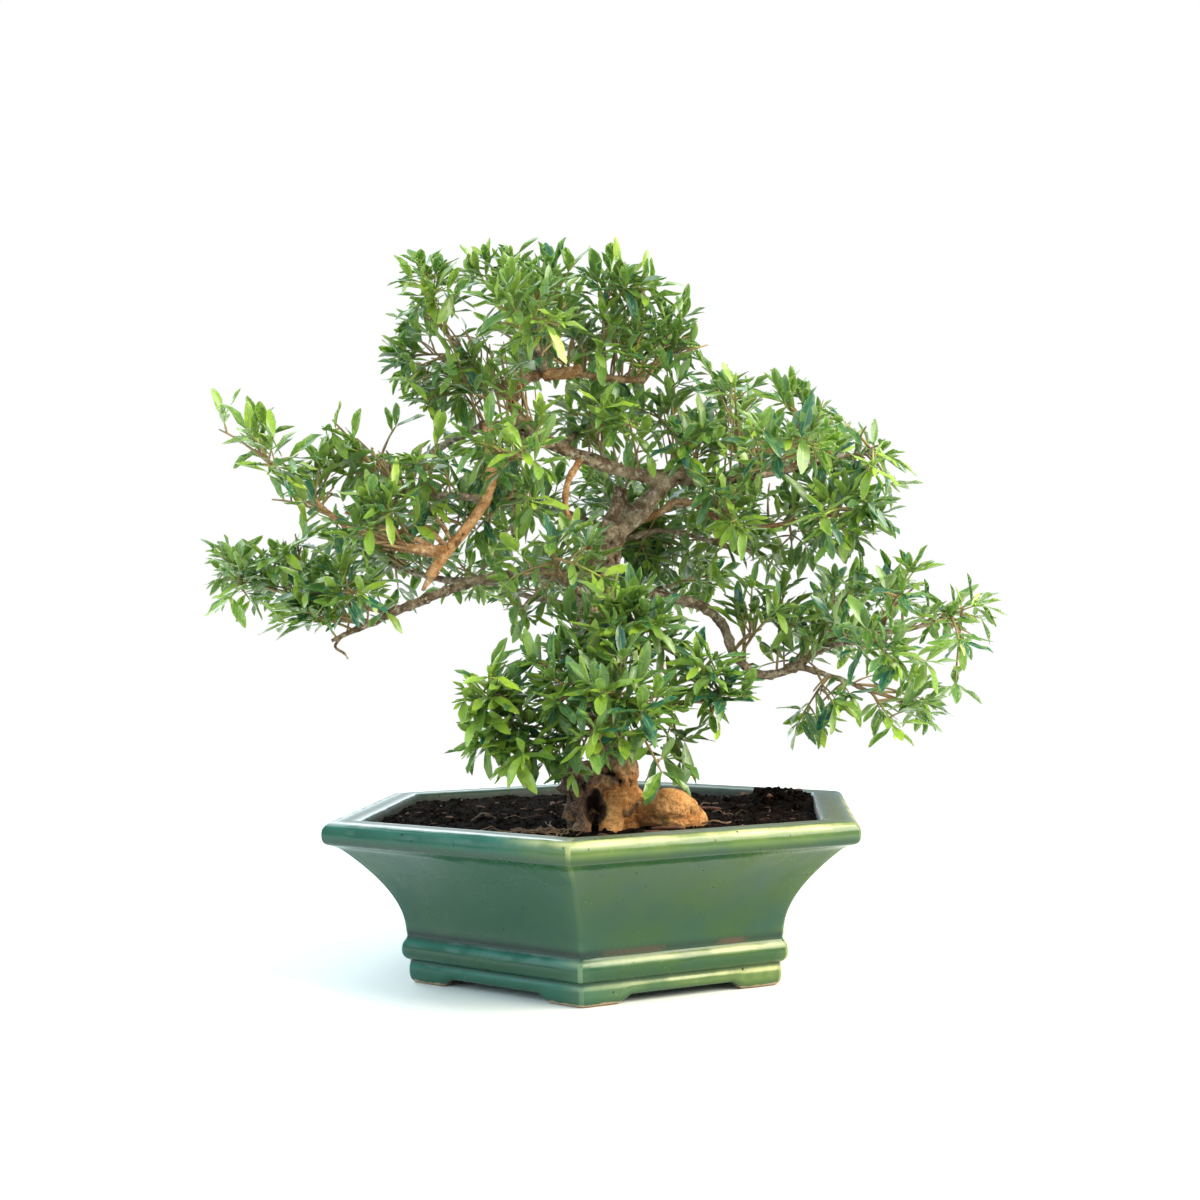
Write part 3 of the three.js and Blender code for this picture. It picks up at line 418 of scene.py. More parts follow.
class Skin:
    """Gathers points, faces and values for one mesh, and makes its object at the end."""

    def __init__(self) -> None:
        """Start with nothing gathered."""
        self.points: list[Array] = []
        self.faces: list[Array] = []
        self.slots: list[Array] = []
        self.values: dict[str, list[Array]] = {}
        self.count = 0

    def add(self, points: Array, faces: list[Array], slot: int = 0, **values: Array) -> None:
        """Add one batch of points and the faces between them.

        Args:
            points: One point per row.
            faces: Arrays of corner numbers, with one face in each row.
            slot: The material slot of these faces.
            **values: A vector for each point, under the names that the materials read.
        """
        for block in faces:
            self.faces.append(block + self.count)
            self.slots.append(np.full(len(block), slot))
        for name, rows in values.items():
            self.values.setdefault(name, []).append(np.broadcast_to(rows, points.shape))
        self.points.append(points)
        self.count += len(points)

    def build(self, name: str, materials: list[Material], sharp: float = 0.0) -> bpy.types.Object:
        """Make the object.

        Args:
            name: The object's name.
            materials: One material for each slot.
            sharp: The angle past which an edge stays sharp, or 0 for an even, smooth surface.

        Returns:
            The new object, linked to the scene.
        """
        mesh = bpy.data.meshes.new(name)
        points = np.concatenate(self.points)
        corners = np.concatenate([block.ravel() for block in self.faces])
        sizes = np.concatenate([np.full(len(block), block.shape[1]) for block in self.faces])
        mesh.vertices.add(len(points))
        mesh.vertices.foreach_set("co", points.astype(np.float32).ravel())
        mesh.loops.add(len(corners))
        mesh.loops.foreach_set("vertex_index", corners.astype(np.int32))
        mesh.polygons.add(len(sizes))
        mesh.polygons.foreach_set("loop_start", (np.cumsum(sizes) - sizes).astype(np.int32))
        mesh.polygons.foreach_set("material_index", np.concatenate(self.slots).astype(np.int32))
        mesh.polygons.foreach_set("use_smooth", np.ones(len(sizes), bool))
        mesh.update(calc_edges=True)
        for label, rows in self.values.items():
            layer = mesh.attributes.new(label, "FLOAT_VECTOR", "POINT")
            layer.data.foreach_set("vector", np.concatenate(rows).astype(np.float32).ravel())
        if sharp:
            mesh.set_sharp_from_angle(angle=sharp)
        return as_object(name, mesh, materials)


def as_object(name: str, mesh: bpy.types.Mesh, materials: list[Material]) -> bpy.types.Object:
    """Put a mesh in the scene with its materials.

    Args:
        name: The object's name.
        mesh: Its mesh.
        materials: One for each slot.

    Returns:
        The object.
    """
    for material in materials:
        mesh.materials.append(material)
    made = bpy.data.objects.new(name, mesh)
    bpy.context.scene.collection.objects.link(made)
    return made


def hand_over(piece: bpy.types.Object, slot: str, *nodes: str) -> None:
    """Hide the solids that a finished piece stands for, fix it to the tree's body and log it.

    Args:
        piece: The finished object.
        slot: The record's name for its finish; not used.
        *nodes: The solids that it stands for.
    """
    if nodes:
        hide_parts(*nodes)
    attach(piece, BODY)
    log.info("%s: %d faces", piece.name, len(piece.data.polygons))


class Bench:
    """A material or a shared effect under way, with one short call for each node."""

    def __init__(self, tree: bpy.types.NodeTree) -> None:
        """Work on a node tree."""
        self.tree = tree

    def add(self, kind: str, inputs: dict | None = None, **settings: object) -> bpy.types.Node:
        """Add a node.

        Args:
            kind: Blender's name for the type of node.
            inputs: Sockets by name or number, each with a value or with another node's output.
            **settings: Properties of the node, set before its sockets.

        Returns:
            The new node.
        """
        node = self.tree.nodes.new(kind)
        for key, value in settings.items():
            setattr(node, key, value)
        for key, value in (inputs or {}).items():
            if isinstance(value, Socket):
                self.tree.links.new(value, node.inputs[key])
            else:
                node.inputs[key].default_value = value
        return node

    def maths(self, operation: str, *values: object) -> Socket:
        """Join numbers by an arithmetic operation."""
        return self.add("ShaderNodeMath", dict(enumerate(values)), operation=operation).outputs[0]

    def times(self, first: object, second: object) -> Socket:
        """Multiply two numbers."""
        return self.maths("MULTIPLY", first, second)

    def larger(self, first: object, second: object) -> Socket:
        """Give the larger of two numbers."""
        return self.maths("MAXIMUM", first, second)

    def blend(self, share: object, first: object, second: object) -> Socket:
        """Mix two colours by a share from 0 to 1."""
        return self.add("ShaderNodeMix", {0: share, 6: first, 7: second}, data_type="RGBA").outputs[2]

    def ramp(self, value: object, low: float, high: float, start: float = 0.0, end: float = 1.0) -> Socket:
        """Turn a number into a smooth step that runs from start at low to end at high."""
        inputs = {0: value, 1: low, 2: high, 3: start, 4: end}
        return self.add("ShaderNodeMapRange", inputs, interpolation_type="SMOOTHSTEP").outputs[0]

    def read(self, name: str) -> tuple[Socket, Socket, Socket]:
        """Give the three numbers of a vector that the mesh holds.

        Args:
            name: The name that the mesh keeps it under.

        Returns:
            The three numbers.
        """
        vector = self.add("ShaderNodeAttribute", attribute_name=name).outputs["Vector"]
        parts = self.add("ShaderNodeSeparateXYZ", {0: vector})
        return parts.outputs[0], parts.outputs[1], parts.outputs[2]

    def place(self) -> Socket:
        """Give the place in the object's own space, in metres."""
        return self.add("ShaderNodeTexCoord").outputs["Object"]

    def effect(self, effect: Effect, place: Socket, width: float, strength: float) -> Socket:
        """Put in a shared effect, as wide and as strong as asked."""
        inputs = {"Place": place, "Width": width, "Strength": strength}
        return self.add("ShaderNodeGroup", inputs, node_tree=effect.group()).outputs[0]

    def surface(self, inputs: dict) -> None:
        """Finish a material with its shader."""
        shader = self.add("ShaderNodeBsdfPrincipled", inputs)
        self.add("ShaderNodeOutputMaterial", {0: shader.outputs[0]})


class Effect(Enum):
    """The effects that several finishes share, each a node group that is made once."""

    MOTTLE = "mottle"
    RELIEF = "relief"

    def group(self) -> bpy.types.NodeTree:
        """Give the effect's node group, made at its first use."""
        made = bpy.data.node_groups.get(self.value)
        return made or (self._mottle() if self is Effect.MOTTLE else self._relief())

    def _start(self, output: str, kind: str) -> tuple[Bench, bpy.types.Node, bpy.types.Node]:
        """Start the group with its sockets.

        Args:
            output: The name of the group's one output.
            kind: The type of that output's socket.

        Returns:
            A bench for the group, its input node and its output node.
        """
        tree = bpy.data.node_groups.new(self.value, "ShaderNodeTree")
        for name, number in (("Place", "Vector"), ("Width", "Float"), ("Strength", "Float")):
            tree.interface.new_socket(name, in_out="INPUT", socket_type=f"NodeSocket{number}")
        tree.interface.new_socket(output, in_out="OUTPUT", socket_type=kind)
        bench = Bench(tree)
        return bench, bench.add("NodeGroupInput"), bench.add("NodeGroupOutput")

    def _mottle(self) -> bpy.types.NodeTree:
        """Make soft patches, from 0 to 1, as wide as asked. A greater strength parts them more sharply.

        Returns:
            The node group.
        """
        bench, given, result = self._start("Value", "NodeSocketFloat")
        scale = bench.maths("DIVIDE", 1.0, given.outputs["Width"])
        inputs = {"Vector": given.outputs["Place"], "Scale": scale, "Detail": 4.0, "Roughness": 0.6}
        patches = bench.add("ShaderNodeTexNoise", inputs).outputs[0]
        apart = bench.times(bench.maths("SUBTRACT", patches, 0.5), given.outputs["Strength"])
        value = bench.add("ShaderNodeMath", {0: apart, 1: 0.5}, operation="ADD", use_clamp=True)
        bench.tree.links.new(value.outputs[0], result.inputs[0])
        return bench.tree

    def _relief(self) -> bpy.types.NodeTree:
        """Make bumps as wide as asked, with finer grain on them. The strength is their height in metres.

        Returns:
            The node group.
        """
        bench, given, result = self._start("Normal", "NodeSocketVector")
        scale = bench.maths("DIVIDE", 1.0, given.outputs["Width"])
        inputs = {"Vector": given.outputs["Place"], "Scale": scale, "Detail": 5.0, "Roughness": 0.65}
        height = bench.add("ShaderNodeTexNoise", inputs).outputs[0]
        inputs = {"Strength": 1.0, "Distance": given.outputs["Strength"], "Height": height}
        bump = bench.add("ShaderNodeBump", inputs)
        bench.tree.links.new(bump.outputs[0], result.inputs[0])
        return bench.tree


def new_material(name: str) -> tuple[Material, Bench]:
    """Start an empty material.

    Args:
        name: The material's name.

    Returns:
        The material, and a bench to fill it on.
    """
    material = bpy.data.materials.new(name)
    material.use_nodes = True
    material.node_tree.nodes.clear()
    return material, Bench(material.node_tree)


@dataclass(frozen=True)
class GlazeFinish:
    """Glossy green glaze that pools dark in the grooves and breaks light and yellow on the edges, with
    painted shade in the grooves and under the lip, painted highlights on the edges, and the side that faces
    the key lamp painted warmer than the cool, sky-lit left.
    """

    body: Colour = (0.029, 0.083, 0.004, 1)
    # cool: a bluer green that lies in random patches, and that also covers the left and back as painted cool
    # sky light
    cool: Colour = (0.014, 0.064, 0.038, 1)
    # Near-black green where the glaze pools in the grooves, also standing for painted shade in the grooves
    # and under the lip
    pooled_and_shaded: Colour = (0.004, 0.020, 0.017, 1)
    # thin: pale yellow-green where the glaze runs thin over the edges, also standing for painted highlights
    # there
    thin: Colour = (0.190, 0.265, 0.060, 1)
    # Painted highlight: pale yellow on the thinnest edges of the side that faces the key lamp
    cream_highlight: Colour = (0.60, 0.60, 0.30, 1)
    # Painted highlight: the teal of the edges on the left and back, lit by the cool sky
    sky_lit_edge: Colour = (0.014, 0.135, 0.100, 1)
    dust: Colour = (0.120, 0.112, 0.108, 1)
    rust: Colour = (0.075, 0.048, 0.026, 1)
    speck: Colour = (0.020, 0.022, 0.012, 1)
    clay: Colour = (0.42, 0.30, 0.19, 1)
    bead_height: float = 26 * MM
    wave_width: float = 17 * MM
    wave_height: float = 0.9 * MM
    speck_spacing: float = 5.5 * MM
    speck_size: float = 0.13

    def material(self) -> Material:
        """Make the glaze, with bare clay where the feet stand.

        Returns:
            The material.
        """
        material, bench = new_material("green_glaze")
        place = bench.place()
        # The first value marks thin glaze with painted highlights, the second glaze that pools with painted
        # shade, the third dust
        thin, pooled_and_shaded, dusty = bench.read("glaze")
        patches = bench.effect(Effect.MOTTLE, place, 28 * MM, 2.4)
        streaks = bench.effect(Effect.MOTTLE, place, 5 * MM, 1.6)
        parts = bench.add("ShaderNodeSeparateXYZ", {0: place})
        # Painted light: the front right of the pot, which faces the key lamp, takes warmer, brighter edges
        # and lighter grooves, and the left and back take the cool, sky-lit colours
        key_lit_side = bench.ramp(bench.maths("SUBTRACT", parts.outputs[0], parts.outputs[1]), 75 * MM, 150 * MM)
        # Painted cool light: away from the key lamp the cool colour takes over, while on the lit side it
        # stays in random patches
        colour = bench.blend(bench.times(patches, bench.larger(key_lit_side, 0.25)), self.cool, self.body)
        uneven = bench.times(thin, bench.ramp(patches, 0.1, 0.8, 0.65, 1.0))
        # Painted highlight: the edges that face the key lamp run from yellow-green to pale yellow
        key_lit_edge = bench.blend(bench.ramp(uneven, 0.35, 0.9), self.thin, self.cream_highlight)
        # Over the thin edges, painted highlights: teal on the left and back, yellow on the front right
        colour = bench.blend(uneven, colour, bench.blend(key_lit_side, self.sky_lit_edge, key_lit_edge))
        # Glaze that pools and painted shade: dark in the grooves and under the lip, a little darker away from
        # the key lamp
        colour = bench.blend(bench.times(pooled_and_shaded, bench.ramp(key_lit_side, 0, 1, 1.0, 0.7)), colour, self.pooled_and_shaded)
        off_bead = bench.maths("ABSOLUTE", bench.maths("SUBTRACT", parts.outputs[2], self.bead_height))
        bare_streak = bench.times(bench.ramp(off_bead, 2.6 * MM, 0.6 * MM), bench.ramp(patches, 0.46, 0.66))
        colour = bench.blend(bench.times(bare_streak, key_lit_side), colour, self.rust)
        colour = bench.blend(bench.times(dusty, bench.ramp(streaks, 0.1, 0.7, 0.4, 1.0)), colour, self.dust)
        inputs = {"Vector": place, "Scale": 1 / self.speck_spacing, "Randomness": 1.0}
        cells = bench.add("ShaderNodeTexVoronoi", inputs)
        rare = bench.add("ShaderNodeSeparateColor", {0: cells.outputs["Color"]}).outputs[0]
        size = bench.times(bench.ramp(rare, 0.4, 1.0), self.speck_size)
        specks = bench.maths("LESS_THAN", cells.outputs["Distance"], size)
        colour = bench.blend(specks, colour, self.speck)
        line = bench.maths("ADD", parts.outputs[2], bench.times(streaks, -1.6 * MM))
        bare = bench.ramp(line, 1.1 * MM, 0.2 * MM)
        colour = bench.blend(bare, colour, self.clay)
        polish = bench.ramp(patches, 0.2, 0.9, 0.16, 0.28)
        dull = bench.larger(bench.times(bare, 0.85), bench.times(dusty, 0.8))
        roughness = bench.larger(polish, dull)
        inputs = {"Vector": place, "Scale": 1 / self.wave_width, "Detail": 1.5, "Roughness": 0.4}
        waves = bench.add("ShaderNodeTexNoise", inputs).outputs[0]
        inputs = {"Strength": 1.0, "Distance": self.wave_height, "Height": waves}
        normal = bench.add("ShaderNodeBump", inputs).outputs[0]
        bench.surface({"Base Color": colour, "Roughness": roughness, "Normal": normal, "IOR": 1.45})
        return material


@dataclass(frozen=True)
class SoilFinish:
    """Dark crumbly soil, damp in patches, with a few pale grains."""

    damp: Colour = (0.0035, 0.0022, 0.0018, 1)
    dry: Colour = (0.020, 0.0125, 0.0095, 1)
    grain: Colour = (0.070, 0.048, 0.037, 1)

    def material(self) -> Material:
        """Make the soil.

        Returns:
            The material.
        """
        material, bench = new_material("soil")
        place = bench.place()
        patches = bench.effect(Effect.MOTTLE, place, 6 * MM, 3.0)
        grit = bench.effect(Effect.MOTTLE, place, 1.4 * MM, 3.5)
        colour = bench.blend(bench.times(patches, grit), self.damp, self.dry)
        colour = bench.blend(bench.ramp(grit, 0.9, 1.0, 0.0, 0.5), colour, self.grain)
        normal = bench.effect(Effect.RELIEF, place, 1.6 * MM, 1.2 * MM)
        bench.surface({"Base Color": colour, "Roughness": 0.95, "Normal": normal, "Specular IOR Level": 0.04})
        return material


@dataclass(frozen=True)
class BarkFinish:
    """Corky bark: orange-tan at the base, grey-brown above, near black in dead wood, and with painted shade
    near black in its pits, furrows and hollow.
    """

    cork: Colour = (0.46, 0.175, 0.047, 1)
    cork_light: Colour = (0.92, 0.50, 0.205, 1)
    cork_deep: Colour = (0.27, 0.085, 0.022, 1)
    upper: Colour = (0.105, 0.080, 0.052, 1)
    upper_light: Colour = (0.41, 0.34, 0.24, 1)
    pale: Colour = (0.56, 0.51, 0.41, 1)
    dead: Colour = (0.065, 0.036, 0.026, 1)
    dead_light: Colour = (0.27, 0.175, 0.130, 1)
    crack_shade: Colour = (0.018, 0.010, 0.006, 1)
    wrinkle_squeeze: Place = (0.45, 0.45, 2.6)

    def material(self) -> Material:
        """Make the bark from the wood's own values: how corky, how dead and how deep; the last paints shade
        in the pits, furrows and hollow.

        Returns:
            The material.
        """
        material, bench = new_material("bark")
        place = bench.place()
        # The third value is low in furrows, pits and the hollow, and the bark paints shade there
        cork, dead, raised = bench.read("wood")
        patches = bench.effect(Effect.MOTTLE, place, 7 * MM, 2.6)
        grit = bench.effect(Effect.MOTTLE, place, 1.3 * MM, 3.0)
        warm = bench.blend(patches, self.cork, self.cork_light)
        squeezed = {0: place, 1: self.wrinkle_squeeze}
        level = bench.add("ShaderNodeVectorMath", squeezed, operation="MULTIPLY").outputs[0]
        wrinkles = bench.effect(Effect.MOTTLE, level, 7 * MM, 4.0)
        warm = bench.blend(bench.ramp(wrinkles, 0.62, 1.0, 0.0, 0.4), warm, self.cork_deep)
        grey = bench.blend(bench.ramp(patches, 0.1, 0.9), self.upper, self.upper_light)
        flakes = bench.effect(Effect.MOTTLE, place, 3.5 * MM, 4.0)
        grey = bench.blend(bench.ramp(flakes, 0.7, 1.0, 0.0, 0.8), grey, self.pale)
        colour = bench.blend(cork, grey, warm)
        worn = bench.times(dead, bench.ramp(patches, 0.95, 0.6, 0.55, 1.0))
        colour = bench.blend(worn, colour, bench.blend(grit, self.dead, self.dead_light))
        # Painted shade: near black in random pits over the bark, in the furrows between ridges and deep in
        # the hollow
        pits = bench.times(bench.ramp(grit, 0.4, 0.05), bench.ramp(cork, 0, 1, 0.62, 0.42))
        hollows = bench.larger(pits, bench.ramp(raised, 0.38, 0.08))
        colour = bench.blend(hollows, colour, self.crack_shade)
        normal = bench.effect(Effect.RELIEF, place, 1.7 * MM, 1.7 * MM)
        bench.surface({"Base Color": colour, "Roughness": 0.82, "Normal": normal, "Specular IOR Level": 0.2})
        return material


@dataclass(frozen=True)
class TwigFinish:
    """Young shoots: yellow-green when fresh, then straw and reddish brown."""

    fresh: Colour = (0.30, 0.38, 0.07, 1)
    straw: Colour = (0.33, 0.24, 0.10, 1)
    brown: Colour = (0.17, 0.085, 0.045, 1)

    def material(self) -> Material:
        """Make the shoots from their own values: how fresh, and a tone.

        Returns:
            The material.
        """
        material, bench = new_material("young_shoot")
        place = bench.place()
        fresh, tone, _ = bench.read("growth")
        patches = bench.effect(Effect.MOTTLE, place, 4 * MM, 2.0)
        colour = bench.blend(bench.times(patches, tone), self.straw, self.brown)
        colour = bench.blend(bench.ramp(fresh, 0.25, 0.75), colour, self.fresh)
        normal = bench.effect(Effect.RELIEF, place, 0.9 * MM, 0.2 * MM)
        bench.surface({"Base Color": colour, "Roughness": 0.6, "Normal": normal, "Specular IOR Level": 0.3})
        return material


@dataclass(frozen=True)
class LeafFinish:
    """Narrow leaves: deep green, its teal partly a painted sky reflection, with a soft sheen, yellow-green
    and translucent when young, painted lighter and warmer on the left of the tree and darker on the right.
    """

    # deep: dark teal green, partly the leaves' own colour and partly a painted reflection of the blue sky
    deep: Colour = (0.016, 0.090, 0.062, 1)
    middle: Colour = (0.057, 0.152, 0.024, 1)
    warm: Colour = (0.185, 0.280, 0.022, 1)
    fresh: Colour = (0.35, 0.53, 0.040, 1)
    rib: Colour = (0.26, 0.38, 0.10, 1)
    under: Colour = (0.17, 0.26, 0.06, 1)
    # How far to each side the painted light runs: lighter, warmer leaves on the left, darker on the right
    shaded_side: float = 150 * MM
    vein_pairs: float = 9.0
    vein_slant: float = 1.6

    def material(self) -> Material:
        """Make the leaves from their own values: place on the blade, face, freshness and tone.

        Returns:
            The material.
        """
        material, bench = new_material("serissa_leaf")
        place = bench.place()
        across, along, under = bench.read("blade")
        fresh, tone, _ = bench.read("growth")
        patches = bench.effect(Effect.MOTTLE, place, 5 * MM, 1.6)
        side = bench.add("ShaderNodeSeparateXYZ", {0: place}).outputs[0]
        depth = bench.times(tone, bench.ramp(patches, 0, 1, 0.7, 1.25))
        # Painted light across the tree: leaves on the left lighter and warmer, on the right darker and deeper
        depth = bench.times(depth, bench.ramp(side, -self.shaded_side, self.shaded_side, 1.2, 0.72))
        # The deepest tones take the teal, partly painted sky reflection
        colour = bench.blend(bench.ramp(depth, 0.14, 0.52), self.deep, self.middle)
        colour = bench.blend(bench.ramp(depth, 0.52, 1.0), colour, self.warm)
        colour = bench.blend(fresh, colour, self.fresh)
        pale = bench.blend(0.6, colour, self.under)
        colour = bench.blend(bench.maths("GREATER_THAN", under, 0.5), colour, pale)
        rib = bench.times(bench.ramp(across, 0.16, 0.04), bench.ramp(along, 1.0, 0.3, 0.1, 0.65))
        colour = bench.blend(rib, colour, self.rib)
        slant = bench.times(across, self.vein_slant)
        rows = bench.maths("SUBTRACT", bench.times(along, self.vein_pairs), slant)
        veins = bench.maths("PINGPONG", rows, 0.5)
        bump = bench.add("ShaderNodeBump", {"Strength": 0.2, "Distance": 0.12 * MM, "Height": veins})
        sheen = bench.ramp(patches, 0.1, 0.9, 0.24, 0.38)
        inputs = {"Base Color": colour, "Roughness": sheen, "Normal": bump.outputs[0]}
        inputs |= {"Specular IOR Level": 0.55, "Subsurface Weight": 0.25}
        inputs |= {"Subsurface Radius": (0.6, 1.0, 0.25), "Subsurface Scale": 1.5 * MM}
        bench.surface(inputs)
        return material


@dataclass(frozen=True)
class PlainFinish:
    """A matt finish in two mottled tones, for slivers, fine roots, dry leaves and the floor."""

    name: str
    dark: Colour
    light: Colour
    width: float = 3 * MM
    roughness: float = 0.8
    relief: float = 0.2 * MM

    def material(self) -> Material:
        """Make the finish.

        Returns:
            The material.
        """
        material, bench = new_material(self.name)
        place = bench.place()
        patches = bench.effect(Effect.MOTTLE, place, self.width, 2.5)
        colour = bench.blend(patches, self.dark, self.light)
        normal = bench.effect(Effect.RELIEF, place, self.width / 3, self.relief)
        bench.surface({"Base Color": colour, "Roughness": self.roughness, "Normal": normal})
        return material


def centripetal(rows: Array, stops: Array) -> Array:
    """Follow a smooth, centripetal curve through points.

    Args:
        rows: The points that the curve passes through.
        stops: How far along to read it, from 0 to 1, with the points evenly spaced in between.

    Returns:
        One point for each stop.
    """
    padded = np.vstack([2 * rows[0] - rows[1], rows, 2 * rows[-1] - rows[-2]])
    at = np.asarray(stops) * (len(rows) - 1)
    first = np.clip(np.floor(at).astype(int), 0, len(rows) - 2)
    part = (at - first)[:, None]
    a, b, c, d = (padded[first + k] for k in range(4))
    pairs = ((a, b), (b, c), (c, d))
    gap_ab, gap_bc, gap_cd = (np.linalg.norm(q - p, axis=1, keepdims=True) ** 0.5 for p, q in pairs)
    start = ((b - a) / gap_ab - (c - a) / (gap_ab + gap_bc) + (c - b) / gap_bc) * gap_bc
    end = ((c - b) / gap_bc - (d - b) / (gap_bc + gap_cd) + (d - c) / gap_cd) * gap_bc
    square = -3 * b + 3 * c - 2 * start - end
    cube = 2 * b - 2 * c + start + end
    return b + part * (start + part * (square + part * cube))


def sweep(middle: Array, reach: Array) -> tuple[Array, list[Array]]:
    """Sweep a section along a line and close both ends.

    Args:
        middle: Points along the line.
        reach: The section's radius at each of them, one column for each side.

    Returns:
        The points, ring by ring with the two ends' middles last, and the faces.
    """
    rings, sides = reach.shape
    along = unit(np.gradient(middle, axis=0))
    across = unit(np.cross(along[0], (0.3, 0.5, 0.8)))
    turn = np.arange(sides) * 2 * math.pi / sides
    points = np.empty((rings, sides, 3))
    for i in range(rings):
        across = square_to(across, along[i])
        beside = np.cross(along[i], across)
        spokes = np.outer(np.cos(turn), across) + np.outer(np.sin(turn), beside)
        points[i] = middle[i] + reach[i][:, None] * spokes
    ring, side = np.meshgrid(np.arange(rings - 1), np.arange(sides), indexing="ij")
    low = ring * sides + side
    low_next = ring * sides + (side + 1) % sides
    walls = np.stack([low, low_next, low_next + sides, low + sides], axis=-1).reshape(-1, 4)
    spin = np.arange(sides)
    after = (spin + 1) % sides
    last = (rings - 1) * sides
    start = np.stack([after, spin, np.full(sides, rings * sides)], axis=1)
    end = np.stack([last + spin, last + after, np.full(sides, rings * sides + 1)], axis=1)
    flat = np.vstack([points.reshape(-1, 3), middle[:1], middle[-1:]])
    return flat, [walls, start, end]


@dataclass(frozen=True)
class Limb:
    """A woody limb through its rows."""

    rows: Rows

    def line(self, stops: Array) -> Array:
        """Give points along the middle of the limb, in metres."""
        return centripetal(np.array(self.rows)[:, :3] * MM, stops)

    def radius(self, stops: Array) -> Array:
        """Give the limb's radius at each stop, in metres."""
        at = np.asarray(stops) * (len(self.rows) - 1)
        return np.interp(at, np.arange(len(self.rows)), np.array(self.rows)[:, 3]) * MM

    def length(self) -> float:
        """Measure the limb."""
        return float(np.linalg.norm(np.diff(self.line(np.linspace(0, 1, 60)), axis=0), axis=1).sum())

    def stops(self, step: float) -> Array:
        """Spread stops along the limb, about a step apart."""
        return np.linspace(0, 1, max(4, round(self.length() / step) + 1))


